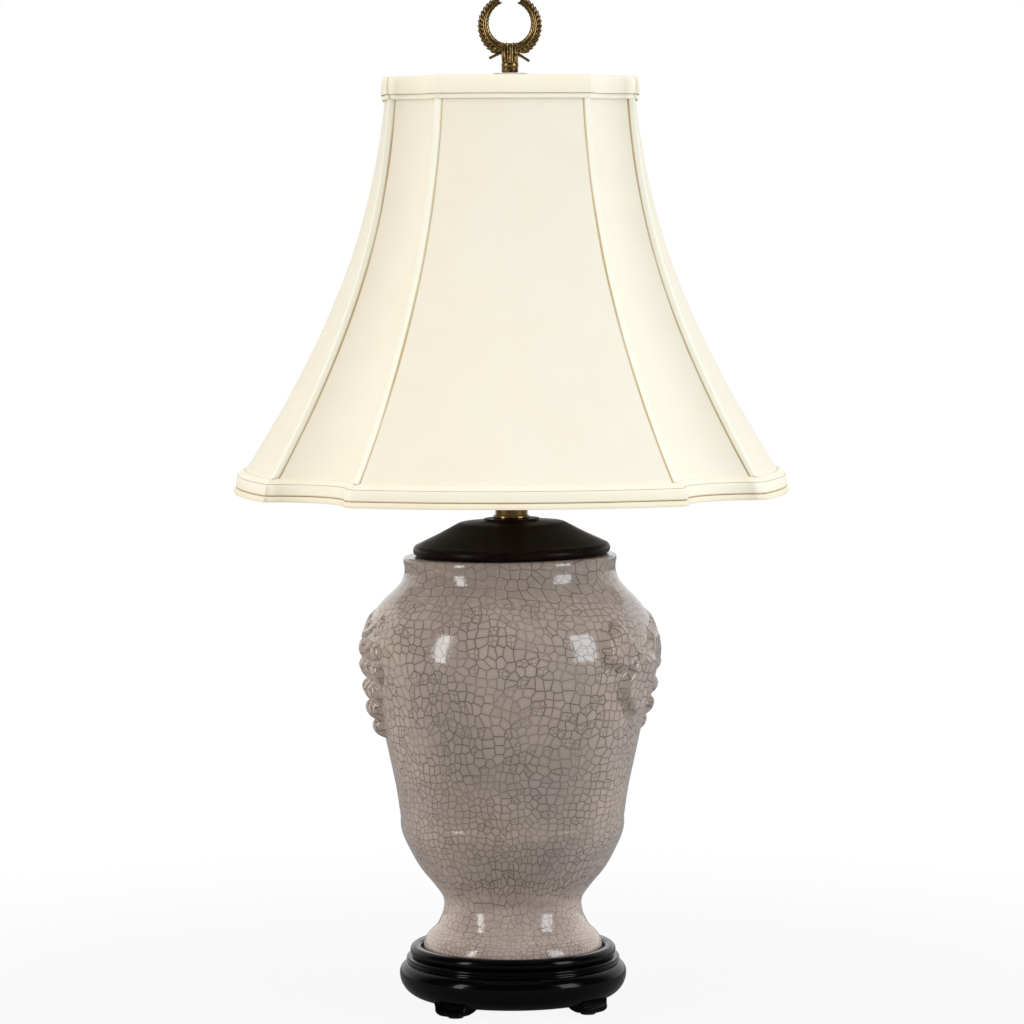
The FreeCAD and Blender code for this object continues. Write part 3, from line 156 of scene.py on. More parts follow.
def addNode(tree, kind, inputs=None, **settings):
    node = tree.nodes.new(kind)
    for key, value in settings.items():
        setattr(node, key, value)
    feed(node, inputs or {})
    return node


def nextTo(values, kind, inputs, output=0, **settings):
    # a node in the same tree as the sockets among the values
    tree = next(value.id_data for value in values if isinstance(value, bpy.types.NodeSocket))
    return addNode(tree, kind, inputs, **settings).outputs[output]


def maths(operation, first, second=0.0, third=0.0, clamp=False):
    values = (first, second, third)
    return nextTo(values, "ShaderNodeMath", dict(enumerate(values)), operation=operation, use_clamp=clamp)


def vectorMaths(operation, first, second=(0, 0, 0), third=(0, 0, 0), scale=1.0, output=0):
    values = (first, second, third, scale)
    return nextTo(values, "ShaderNodeVectorMath", dict(enumerate(values)), output, operation=operation)


def ramp(value, low, high, outLow=0.0, outHigh=1.0):
    # smooth change from outLow to outHigh while value goes from low to high
    return nextTo([value], "ShaderNodeMapRange", {0: value, 1: low, 2: high, 3: outLow, 4: outHigh},
                  interpolation_type="SMOOTHSTEP")


def blendColour(factor, first, second):
    return nextTo([factor], "ShaderNodeMix", {0: factor, 6: first, 7: second}, 2, data_type="RGBA")


def bumpFrom(height, distance, strength):
    return nextTo([height], "ShaderNodeBump", {"Height": height, "Distance": distance, "Strength": strength})


def noiseAt(point, scale, detail=3.0, rough=0.5, output=0):
    return nextTo([point], "ShaderNodeTexNoise",
                  {"Vector": point, "Scale": scale, "Detail": detail, "Roughness": rough}, output)


def splitUp(vector):
    return nextTo([vector], "ShaderNodeSeparateXYZ", {0: vector}, slice(None))


def objectPoint(tree):
    return addNode(tree, "ShaderNodeTexCoord").outputs["Object"]


def measureOf(tree):
    return addNode(tree, "ShaderNodeUVMap", uv_map="measure").outputs[0]


def markOn(tree, name):
    return addNode(tree, "ShaderNodeAttribute", attribute_name=name).outputs["Fac"]


def newGroup(name, inputs, outputs):
    # an input that starts as None is a vector, any other a number
    group = bpy.data.node_groups.new(name, "ShaderNodeTree")
    for label, value in inputs.items():
        kind = "NodeSocketVector" if value is None else "NodeSocketFloat"
        socket = group.interface.new_socket(label, in_out="INPUT", socket_type=kind)
        if value is not None:
            socket.default_value = value
    for label in outputs:
        group.interface.new_socket(label, in_out="OUTPUT", socket_type="NodeSocketFloat")
    return group, group.nodes.new("NodeGroupInput").outputs, group.nodes.new("NodeGroupOutput")


def placeGroup(tree, group, inputs):
    return addNode(tree, "ShaderNodeGroup", inputs, node_tree=group).outputs


def newMaterial(name, colour, roughness, settings=None):
    material = bpy.data.materials.new(name)
    material.use_nodes = True
    shader = material.node_tree.nodes["Principled BSDF"]
    feed(shader, {"Base Color": colour, "Roughness": roughness, **(settings or {})})
    return material, material.node_tree, shader


crackleLook = {
    "scale": 150.0,  # cells to the metre
    "width": 0.00048,
    "core": 0.30,  # share of a crack's width that is fully dark
    "seam": (26.0, 0.9),  # wander of the crack up the back: scale, reach in radians
    "seamWidth": (0.0003, 0.0008),
    "drifts": ((7.0, 0.034), (34.0, 0.0100)),  # scale and reach of what bends the net
    "randomness": 0.70,
    "short": (1.9, 0.8),  # times the scale, times the width
    "wide": (0.60, 1.25),
    "shortShare": 0.8,
    "splitAbove": 0.80,  # cells whose own random number is higher are split by short cracks
    "pillow": 0.0030,
}


def makeCrackleGroup():
    # over the glaze's own measure: a net of long cracks, short ones that split some of its cells,
    # and a wider net that takes over where the jar is narrow
    look = crackleLook
    group, given, give = newGroup(
        "crackle", {"Skin": None, "Scale": look["scale"], "Width": look["width"], "Coarse": 0.0},
        ("Cracks", "Tone", "Pillow"))
    along, rise, _ = splitUp(given["Skin"])
    # the two ends of the net meet along a crack that wanders up the back
    scale, reach = look["seam"]
    level = addNode(group, "ShaderNodeCombineXYZ", {"Y": rise}).outputs[0]
    wander = maths("MULTIPLY_ADD", noiseAt(level, scale, 1.0), reach, -reach / 2)
    wrapped = maths("WRAP", maths("MULTIPLY_ADD", along, 1 / skinRadius, wander), math.pi, -math.pi)
    across = maths("MULTIPLY", maths("SUBTRACT", wrapped, wander), skinRadius)
    meeting = maths("MULTIPLY", maths("SUBTRACT", math.pi, maths("ABSOLUTE", wrapped)), skinRadius)
    point = addNode(group, "ShaderNodeCombineXYZ", {"X": across, "Y": rise}).outputs[0]
    for scale, reach in look["drifts"]:
        centred = vectorMaths("SUBTRACT", noiseAt(point, scale, 0.0, output="Color"), (0.5, 0.5, 0.5))
        point = vectorMaths("MULTIPLY_ADD", centred, (reach, reach, 0), point)

    def voronoi(scale, feature):
        return addNode(group, "ShaderNodeTexVoronoi",
                       {"Vector": point, "Scale": scale, "Randomness": look["randomness"]},
                       feature=feature, voronoi_dimensions="2D").outputs

    def net(times, share):
        scale = maths("MULTIPLY", given["Scale"], times)
        away = maths("DIVIDE", voronoi(scale, "DISTANCE_TO_EDGE")["Distance"], scale)
        full, end = (maths("MULTIPLY", given["Width"], part * share) for part in (look["core"], 1))
        return away, ramp(away, full, end, 1.0, 0.0)
    away, line = net(1.0, 1.0)
    cell = voronoi(given["Scale"], "F1")["Color"]
    draw, tone, _ = nextTo([cell], "ShaderNodeSeparateColor", {0: cell}, slice(None))
    split = maths("GREATER_THAN", draw, look["splitAbove"])
    short = maths("MULTIPLY", maths("MULTIPLY", net(*look["short"])[1], look["shortShare"]), split)
    fine = maths("SUBTRACT", 1.0, ramp(given["Coarse"], 0.3, 0.8))
    wide = maths("MULTIPLY", net(*look["wide"])[1], ramp(given["Coarse"], 0.2, 0.6))
    cracks = ramp(meeting, *look["seamWidth"], 1.0, 0.0)
    for more in (maths("MULTIPLY", line, fine), wide, maths("MULTIPLY", short, fine)):
        cracks = maths("MAXIMUM", cracks, more)
    feed(give, {"Cracks": cracks, "Tone": tone, "Pillow": ramp(away, 0.0, look["pillow"])})
    return group


def makeWeaveGroup():
    # over-and-under threads on the cloth's own measure, with slubs along them
    group, given, give = newGroup("weave", {"Cloth": None, "Threads": 1800.0, "Slub": 0.5},
                                  ("Height", "Tint"))
    waves = [maths("SINE", maths("MULTIPLY", maths("MULTIPLY", way, given["Threads"]), math.tau))
             for way in splitUp(given["Cloth"])[:2]]
    slubs = [noiseAt(vectorMaths("MULTIPLY", given["Cloth"], stretch), 1.0, 2.0, 0.6)
             for stretch in ((420.0, 34.0, 1.0), (34.0, 420.0, 1.0))]
    slub = maths("MULTIPLY", maths("ADD", *slubs), 0.5)
    height = maths("MULTIPLY_ADD", maths("MULTIPLY", *waves), 0.25, maths("MULTIPLY", slub, given["Slub"]))
    feed(give, {"Height": height, "Tint": slub})
    return group


def makePatinaGroup():
    # blotches and fine scratches of an old metal or lacquer
    group, given, give = newGroup("patina", {"Point": None, "Scale": 160.0, "Scratch": 0.5},
                                  ("Blotch", "Scratches"))
    blotch = noiseAt(vectorMaths("SCALE", given["Point"], scale=given["Scale"]), 1.0, 4.0, 0.62)
    scratch = noiseAt(vectorMaths("MULTIPLY", given["Point"], (900.0, 900.0, 6000.0)), 1.0, 2.0, 0.7)
    scratches = maths("MULTIPLY", ramp(scratch, 0.5, 0.75), given["Scratch"])
    feed(give, {"Blotch": blotch, "Scratches": scratches})
    return group


crackle = makeCrackleGroup()
weave = makeWeaveGroup()
patina = makePatinaGroup()

glazeLook = {
    "cell": screenColour(180, 163, 149),
    "warm": screenColour(198, 179, 167),
    "grey": screenColour(171, 156, 147),
    "crack": screenColour(82, 70, 62),
    "bareClay": screenColour(150, 92, 60),
    "crackShare": 0.80,
    # noises (scale, detail, roughness) and the edges (and ends) their ramps take
    "clouds": (13.0, 3.0, 0.55),
    "cloudEdges": (0.38, 0.66),
    "blush": (24.0, 2.0),
    "blushEdges": (0.55, 0.75, 0.0, 0.35),
    "footBlush": 0.75,
    "faint": (38.0, 2.0),
    "faintEdges": (0.28, 0.62, 0.45, 1.0),
    "sheen": (90.0, 3.0),
    "sheenEdges": (0.35, 0.75, 0.06, 0.15),
    "toneShade": (0.10, 0.92),  # a cell's own shade: reach, darkest
    "pillowShade": (0.93, 1.02),  # at a crack and away from it
    "coarseZ": (0.058, 0.068, 0.092, 0.112, 0.330, 0.350),
    "warmZ": (0.078, 0.125),
    "clayZ": (0.0490, 0.0515),
    # painted shade: how dark the glaze is painted face on, from the foot to the belly; painted light: how
    # bright it is painted where it turns away
    "faceOnShadeZ": (0.190, 0.300),
    "deep": (0.80, 0.97),
    "facing": (0.12, 0.50),
    "paintedEdgeLight": 1.09,
    # painted shade towards the neck
    "neckZ": (0.335, 0.356),
    "neckShade": 0.88,
    # heights in the bump: cracks, pillowed cells, slow and fine ripple; then its distance and strength
    "heights": (-0.12, 0.10, 0.7, 0.35),
    "bump": (0.00026, 0.6),
}


def makeGlaze():
    look = glazeLook
    material, tree, shader = newMaterial("crackleGlaze", look["cell"], look["sheenEdges"][2])
    point = objectPoint(tree)
    up = splitUp(point)[2]
    footFrom, footFull, footEnd, bellyFrom, neckFrom, neckFull = look["coarseZ"]
    coarse = maths("MULTIPLY", ramp(up, footFrom, footFull), ramp(up, footEnd, bellyFrom, 1.0, 0.0))
    coarse = maths("ADD", coarse, ramp(up, neckFrom, neckFull))
    cracks = placeGroup(tree, crackle, {"Skin": measureOf(tree), "Coarse": coarse})
    tint = blendColour(ramp(noiseAt(point, *look["clouds"]), *look["cloudEdges"]), look["grey"], look["cell"])
    warmth = maths("ADD", ramp(up, *look["warmZ"], look["footBlush"], 0.0),
                   ramp(noiseAt(point, *look["blush"]), *look["blushEdges"]), clamp=True)
    tint = blendColour(warmth, tint, look["warm"])
    # painted shade: the glaze is darker face on, the more so towards the foot, and darker towards the neck;
    # painted light: it is brighter where it turns away
    facing = addNode(tree, "ShaderNodeLayerWeight", {"Blend": 0.5}).outputs["Facing"]
    shade = maths("MULTIPLY_ADD", cracks["Tone"], *look["toneShade"])
    for times in (ramp(cracks["Pillow"], 0.0, 1.0, *look["pillowShade"]),
                  ramp(facing, *look["facing"], ramp(up, *look["faceOnShadeZ"], *look["deep"]), look["paintedEdgeLight"]),
                  ramp(up, *look["neckZ"], 1.0, look["neckShade"])):
        shade = maths("MULTIPLY", shade, times)
    cells = vectorMaths("SCALE", tint, scale=shade)
    faint = ramp(noiseAt(point, *look["faint"]), *look["faintEdges"])
    cracked = maths("MULTIPLY", maths("MULTIPLY", cracks["Cracks"], look["crackShare"]), faint)
    edge = ramp(maths("MULTIPLY_ADD", noiseAt(point, 60.0), 0.003, up), *look["clayZ"], 1.0, 0.0)
    rough = maths("MULTIPLY_ADD", edge, 0.6, ramp(noiseAt(point, *look["sheen"]), *look["sheenEdges"]),
                  clamp=True)
    height = 0.0
    for value, share in zip((noiseAt(point, 300.0, 2.0), noiseAt(point, 48.0, 2.0), cracks["Pillow"],
                             cracks["Cracks"]), reversed(look["heights"])):
        height = maths("MULTIPLY_ADD", value, share, height)
    glazed = blendColour(cracked, cells, look["crack"])
    feed(shader, {"Base Color": blendColour(edge, glazed, look["bareClay"]), "Roughness": rough,
                  "Normal": bumpFrom(height, *look["bump"])})
    return material


def makeCloth(name, colour, deep, seam=None, threads=1500.0, slub=0.55, tintShare=0.30, bump=0.00010):
    # a tape is darker along its seam, which the attribute of that name marks; that darkening is partly the
    # seam and partly painted shadow in the gap at the tape's edge
    colour, deep = screenColour(*colour), screenColour(*deep)
    material, tree, shader = newMaterial(
        name, colour, 0.82, {"Sheen Weight": 0.12, "Sheen Roughness": 0.45, "Specular IOR Level": 0.22})
    woven = placeGroup(tree, weave, {"Cloth": measureOf(tree), "Threads": threads, "Slub": slub})
    blotch = ramp(noiseAt(objectPoint(tree), 26.0), 0.35, 0.75, 0.0, 0.22)
    tint = blendColour(maths("MULTIPLY_ADD", woven["Tint"], tintShare, blotch, clamp=True), colour, deep)
    if seam:
        tint = blendColour(markOn(tree, "seam"), tint, screenColour(*seam))
    feed(shader, {"Base Color": tint, "Roughness": ramp(woven["Tint"], 0.3, 0.7, 0.74, 0.88),
                  "Normal": bumpFrom(woven["Height"], bump, 0.8)})
    return material


def makeMetal(name, bright, dark, roughness, darkShare, scratch, scale=160.0, bump=0.00004):
    bright, dark = screenColour(*bright), screenColour(*dark)
    material, tree, shader = newMaterial(name, bright, roughness, {"Metallic": 1.0})
    old = placeGroup(tree, patina, {"Point": objectPoint(tree), "Scale": scale, "Scratch": scratch})
    spots = ramp(old["Blotch"], 0.38, 0.66, 0.0, darkShare)
    share = maths("SUBTRACT", maths("ADD", spots, old["Scratches"]), markOn(tree, "rubbed"), clamp=True)
    feed(shader, {"Base Color": blendColour(share, bright, dark),
                  "Roughness": maths("MULTIPLY_ADD", share, 0.22, roughness, clamp=True),
                  "Normal": bumpFrom(old["Blotch"], bump, 0.6)})
    return material


def makeLacquer(name, colour, brown, roughness, coat, shine, grainShare, bump):
    # dark wood under lacquer: turned grain barely shows, dust dulls it in patches
    colour, brown = screenColour(*colour), screenColour(*brown)
    material, tree, shader = newMaterial(
        name, colour, roughness,
        {"Specular IOR Level": shine, "Coat Weight": coat, "Coat Roughness": roughness * 0.6})
    point = objectPoint(tree)
    grain = noiseAt(vectorMaths("MULTIPLY", point, (40.0, 260.0, 260.0)), 1.0, 4.0, 0.6)
    old = placeGroup(tree, patina, {"Point": point, "Scale": 55.0, "Scratch": 0.4})
    share = maths("MULTIPLY", ramp(grain, 0.4, 0.7), grainShare)
    height = maths("MULTIPLY_ADD", grain, 0.5, old["Blotch"])
    feed(shader, {"Base Color": blendColour(share, colour, brown),
                  "Roughness": ramp(old["Blotch"], 0.3, 0.75, roughness, roughness + 0.10),
                  "Normal": bumpFrom(height, bump, 0.5)})
    return material


def makeMoulded(name, colour, paler, roughness, scale=300.0, bump=0.00003, metallic=0.0):
    # plastic, rubber, board, paint or solder: mottled colour with a fine surface
    colour, paler = screenColour(*colour), screenColour(*paler)
    material, tree, shader = newMaterial(name, colour, roughness, {"Metallic": metallic})
    mottle = noiseAt(objectPoint(tree), scale, 3.0, 0.6)
    feed(shader, {"Base Color": blendColour(ramp(mottle, 0.35, 0.75, 0.0, 0.5), colour, paler),
                  "Roughness": ramp(mottle, 0.3, 0.7, roughness, min(roughness + 0.12, 1.0)),
                  "Normal": bumpFrom(mottle, bump, 0.6)})
    return material


def makeFrosted():
    material, tree, shader = newMaterial("frostedGlass", screenColour(247, 246, 242), 0.35,
                                         {"Transmission Weight": 0.55, "IOR": 1.5})
    speck = noiseAt(objectPoint(tree), 420.0, 2.0)
    feed(shader, {"Roughness": ramp(speck, 0.3, 0.7, 0.30, 0.45), "Normal": bumpFrom(speck, 0.00003, 0.4)})
    return material


tapeWeave = {"threads": 1250.0, "slub": 0.8, "tintShare": 0.38, "bump": 0.00014}
glaze = makeGlaze()
silk = makeCloth("shadeSilk", (248, 241, 222), (241, 231, 207))
liningSilk = makeCloth("liningSilk", (247, 243, 232), (236, 229, 212), threads=1100.0)
tape = makeCloth("shadeTape", (255, 248, 227), (252, 241, 215), (204, 178, 130), **tapeWeave)
ribTape = makeCloth("ribTape", (255, 252, 235), (253, 246, 225), (204, 178, 130), **tapeWeave)
# the roll is painted darker and browner than the tapes: painted shade on its underside
roll = makeCloth("shadeRoll", (252, 242, 217), (243, 229, 198), (176, 144, 98), **tapeWeave)
agedBrass = makeMetal("agedBrass", (146, 121, 78), (46, 35, 26), 0.32, 0.95, 0.35, 230.0, 0.00012)
neckBronze = makeMetal("neckBronze", (146, 120, 80), (84, 66, 42), 0.26, 0.45, 0.25)
harpBrass = makeMetal("harpBrass", (214, 186, 124), (150, 118, 66), 0.24, 0.35, 0.4)
socketBrass = makeMetal("socketBrass", (216, 190, 132), (168, 138, 84), 0.20, 0.3, 0.4)
zincSteel = makeMetal("zincSteel", (198, 198, 192), (150, 150, 140), 0.34, 0.4, 0.5)
shellAluminium = makeMetal("shellAluminium", (216, 216, 214), (176, 176, 172), 0.28, 0.3, 0.5)
standLacquer = makeLacquer("standLacquer", (4, 3, 3), (12, 9, 8), 0.12, 0.10, 0.08, 0.35, 0.00008)
capWood = makeLacquer("capWood", (20, 12, 8), (38, 22, 14), 0.30, 0.03, 0.06, 0.6, 0.00010)
footRubber = makeMoulded("footRubber", (42, 42, 42), (66, 65, 63), 0.85)
inletPlastic = makeMoulded("inletPlastic", (22, 22, 22), (36, 36, 36), 0.45)
phenolic = makeMoulded("blackPhenolic", (24, 20, 18), (40, 34, 30), 0.22)
linerBoard = makeMoulded("linerBoard", (172, 146, 106), (140, 114, 78), 0.9, 90.0, 0.0001)
frameWire = makeMoulded("frameWire", (232, 228, 214), (208, 200, 180), 0.42)
solder = makeMoulded("bulbSolder", (160, 160, 156), (120, 118, 112), 0.4, metallic=1.0)
frostedGlass = makeFrosted()
print("materials made")


# Shade: one plan at each height, made of four bowed sides and four hollow corners
shadeShape = {
    "topZ": 0.7610,
    "height": 0.3356,
    # at the top and at the bottom: half the width, a rib's two distances from the middle, a corner's depth
    "half": (0.1004, 0.2254),
    "short": (0.0594, 0.1322),
    "long": (0.0963, 0.1969),
    "scallop": (0.0095, 0.0216),
    # how much the sides and the ribs flare on the way down
    "bend": 0.78,
    "ribBend": 0.90,
    "swell": 0.0033,  # the cover stands off the wires above the bottom band
    "swellZ": (0.650, 0.452, 0.4437, 0.4270),
}
clothRise = 1.08  # cloth to each metre of height


def shadePlan(z, covered=True):
    look = shadeShape
    fall = (look["topZ"] - z) / look["height"]
    high, full, low, end = look["swellZ"]
    swell = look["swell"] * (1 - fade(full, high, z)) * fade(end, low, z) if covered else 0

    def at(name, bend):
        return between(look[name], (1 - bend) * fall + bend * fall * fall)
    half = at("half", look["bend"]) + swell
    short, long, scallop = (at(name, look["ribBend"]) for name in ("short", "long", "scallop"))
    long += swell
    bow = half - long
    sideRadius = (short ** 2 + bow ** 2) / (2 * bow)
    chord = (long - short) / math.sqrt(2)
    cornerRadius = (chord ** 2 + scallop ** 2) / (2 * scallop)
    cornerReach = (long + short) / 2 + (cornerRadius - scallop) / math.sqrt(2)
    return Vector((0, half - sideRadius)), sideRadius, Vector((1, 1)) * cornerReach, cornerRadius


def cornerArc(corner, middle):
    # where a hollow corner's arc starts and how far it turns, the same on both sides of the diagonal
    start = math.atan2(corner.y - middle.y, corner.x - middle.x) % math.tau
    return start, math.radians(450) - 2 * start


def shadePoint(z, place, out=0.0, covered=True):
    # place runs once round the shade from 0 to 8: even stretches are sides, odd ones hollow corners
    sideMiddle, sideRadius, cornerMiddle, cornerRadius = shadePlan(z, covered)
    sideRadius += out
    cornerRadius -= out
    way = cornerMiddle - sideMiddle
    gap = way.length
    along = (gap ** 2 + sideRadius ** 2 - cornerRadius ** 2) / (2 * gap)
    off = math.sqrt(max(sideRadius ** 2 - along ** 2, 0))
    way.normalize()
    corner = sideMiddle + way * along + Vector((-way.y, way.x)) * off
    stretch = int(place) % 8
    part = place - int(place)
    if stretch % 2 == 0:
        turn = math.atan2(corner.x, corner.y - sideMiddle.y) * (2 * part - 1)
        flat = sideMiddle + Vector((math.sin(turn), math.cos(turn))) * sideRadius
    else:
        start, sweep = cornerArc(corner, cornerMiddle)
        turn = start + sweep * part
        flat = cornerMiddle + Vector((math.cos(turn), math.sin(turn))) * cornerRadius
    for _ in range(stretch // 2):
        flat = Vector((flat.y, -flat.x))
    return Vector((flat.x, flat.y, z))


def stretchLength(z, side):
    # arc length of a side, or of a hollow corner, at a height
    sideMiddle, sideRadius, cornerMiddle, cornerRadius = shadePlan(z)
    corner = shadePoint(z, 1.0)
    if side:
        return 2 * sideRadius * math.atan2(corner.x, corner.y - sideMiddle.y)
    return cornerRadius * cornerArc(corner, cornerMiddle)[1]


def girthAt(z):
    return 4 * (stretchLength(z, True) + stretchLength(z, False))


def stretchCloth(name, bm, material, node, look, width):
    area = sum(face.calc_area() for face in bm.faces)
    piece = makePiece(name, bm, material, "shade", [node])
    wall = piece.modifiers.new("wall", "SOLIDIFY")
    wall.thickness = look["thickness"]
    wall.offset = -1


panelLook = {
    "low": 0.42695,
    "high": 0.75945,
    "sag": (0.0011, -0.00055),  # stretched cloth draws in between the ribs: sides, hollow corners
    "pucker": 0.00022,
    "puckerReach": 0.012,
    "thickness": 0.0006,
    "hem": 0.012,  # turned over the wires at top and bottom
    "cutRise": 1.105,
    "columns": (44, 22),
    "rows": 64,
}
sideNames = ("back", "right", "front", "left")
cornerNames = ("back_right", "front_right", "front_left", "back_left")


def makePanel(number):
    look = panelLook
    kind = number % 2
    side = kind == 0
    where = (sideNames if side else cornerNames)[number // 2]

    def place(u, v):
        z = between((look["low"], look["high"]), v)
        length = stretchLength(z, side)
        pull = math.sin(math.pi * v) * (1 - (2 * u - 1) ** 2)
        near = math.exp(-min(u, 1 - u) * length / look["puckerReach"])
        pucker = waver(number * 3.1, z * 60, u * 3) * near * look["pucker"]
        # the edge of the cloth stays on its rib
        out = (pucker - look["sag"][kind] * pull) * fade(0, 0.03, min(u, 1 - u))
        return shadePoint(z, number + min(u, 0.999999), out), (u - 0.5) * length, z * clothRise
    bm = bmesh.new()
    shapedGrid(bm, look["columns"][kind], look["rows"], place)
    bmesh.ops.recalc_face_normals(bm, faces=bm.faces)
    front = max(bm.faces, key=lambda face: face.calc_area())
    if front.normal.xy.dot(front.calc_center_median().xy) < 0:
        bmesh.ops.reverse_faces(bm, faces=bm.faces)
    prefix = "side" if side else "corner"
    stretchCloth(prefix + "Silk_" + where, bm, silk, prefix + "_panel_" + where, look,
                 stretchLength(look["low"], side) + look["hem"])


for number in range(8):
    makePanel(number)
print("shade panels stretched")

liningLook = {
    "low": 0.4270,
    "high": 0.7592,
    "inset": 0.0056,
    "gather": 0.0004,
    "thickness": 0.0005,
    "hem": 0.010,
    "cutRise": 1.12,
    "columns": 208,
    "rows": 48,
}


def makeLining():
    look = liningLook
    girth = girthAt(look["low"])

    def place(u, v):
        z = between((look["low"], look["high"]), v)
        gather = waver(u * 90, z * 8, 5) * look["gather"]
        return shadePoint(z, (u * 8) % 8, gather - look["inset"], False), u * girth, z * clothRise
    bm = bmesh.new()
    shapedGrid(bm, look["columns"], look["rows"], place)
    closeUp(bm)
    stretchCloth("liningCloth", bm, liningSilk, "shade_lining", look, girth + 2 * look["hem"])


makeLining()
print("lining stretched")

ribTapeLook = {
    "halfWidth": 0.0049,
    "lift": 0.00012,
    "thickness": 0.00125,
    "low": 0.44370,
    "high": 0.74230,
    "columns": 24,
    "rows": 84,
    "face": 0.62,  # share of the grid that is seen; the rest lies under it
    "round": 3.2,
    # how far across the tape its groove lies, its width and depth
    "groove": (0.84, 0.06, 0.22),
    "least": 0.12,
    "seamAndShadowFrom": (0.83, 0.89),
    # by hand: share of the width, metres out, metres aside
    "uneven": 0.05,
    "ripple": 0.00010,
    "wander": 0.0004,
}
# the sewn edge of each tape, seen from outside: 1 towards the next stretch, -1 towards the one before; a
# darker line there paints the seam and the shadow in its gap
sewnEdges = {1: -1, 2: -1, 3: 1, 4: 1, 5: -1, 6: -1, 7: 1, 8: 1}


def ribTapePoint(rib, z, x, out):
    # x metres across the tape from the rib's line, positive towards the next stretch
    length = stretchLength(z, (rib % 2 == 0) == (x > 0))
    return shadePoint(z, (rib + x / length) % 8, out)


def makeRibTapes():
    look = ribTapeLook
    bm = bmesh.new()
    seam = bm.verts.layers.float.new("seam")
    at, wide, deep = look["groove"]
    for rib, sewn in sewnEdges.items():
        drift = rib * 7.7

        def place(u, v):
            z = between((look["low"], look["high"]), v)
            half = look["halfWidth"] * (1 + look["uneven"] * waver(z * 14, drift, 0))
            if u < look["face"]:
                x = -1 + 2 * u / look["face"]
                crown = (1 - abs(x) ** look["round"]) ** 0.5 if abs(x) < 1 else 0
                groove = deep * math.exp(-((x * sewn - at) / wide) ** 2)
                out = look["lift"] + look["thickness"] * max(crown - groove, look["least"])
                out += look["ripple"] * waver(z * 55, x, drift)
            else:
                x = 1 - 2 * (u - look["face"]) / (1 - look["face"])
                out = look["lift"] * 0.5
            shift = look["wander"] * waver(z * 9, drift, 4)
            return ribTapePoint(rib, z, x * half + shift, out), x * half, z * clothRise
        made = shapedGrid(bm, look["columns"], look["rows"], place)
        # darker line on the sewn edge: the seam, and painted shadow where the edge lifts
        layer = measureLayer(bm)
        for vert in made:
            x = vert.link_loops[0][layer].uv.x / look["halfWidth"]
            vert[seam] = fade(*look["seamAndShadowFrom"], x * sewn)
    closeUp(bm, 2e-5, fillEnds=True)
    makePiece("ribTapes", bm, ribTape, "shade", ["rib_strips"], sharpAngle=55)


makeRibTapes()

# bands round the shade, from the table up; stand is how far the padding holds them off, below and above; the
# last column marks a darker line where the band meets the roll, the seam and painted shade in the gap between
# them
bandColumns = ("name", "node", "low", "high", "edge", "crown", "stand", "lap", "inside", "seamAndGapShade")
bandRows = (
    ("bottomRoll", "bottom_roll", 0.4254, 0.4304, 0.0006, 0.0019, (0, 0.0012), 0.0004, 0.0066, (0.88, 0.99)),
    ("bottomBand", "bottom_trim", 0.4305, 0.4395, 0.0011, 0.0019, (0.0014, 0.0034), 0.0006, 0, (0.11, 0.02)),
    ("bottomLip", "bottom_lip", 0.43946, 0.4436, 0.0010, 0.0014, (0.0030, 0.0006), 0.0004, 0, None),
    ("topPiping", "top_piping", 0.7424, 0.7465, 0.0014, 0.0022, (0, 0), 0.0004, 0, None),
    ("topBand", "top_trim", 0.7466, 0.76095, 0.0026, 0.0040, (0, 0), 0.0006, 0.0066, None),
)
bandLook = {
    "columns": 8 * 40,
    "profile": 22,
    "front": (0.70, 0.62),  # share of the grid that is seen: a plain band, one that goes inside
    "bulge": (0.04, 0.96),  # stretch of a half wave that its profile takes
    "fullness": 0.62,
    "lapEnds": (0.007, 0.010),
    "under": (0.67, 0.84),  # share of the back where it turns under the wire, and where it is furthest in
    "clearance": 0.0006,
    "wander": 0.00040,
    "fineWander": 0.00012,
    "round": 0.0065,
    "behind": 0.00012,
    "measure": 2.4,  # cloth round a band to each metre of its height
}


def roundedPoint(z, at, out):
    # a band rounds the rib's sharp turn: the mean of five points either side of its own
    total = Vector((0, 0, 0))
    length = stretchLength(z, int(at) % 2 == 0)
    for step in (-1, -0.5, 0, 0.5, 1):
        total += shadePoint(z, (at + step * bandLook["round"] / length) % 8, out)
    return total / 5


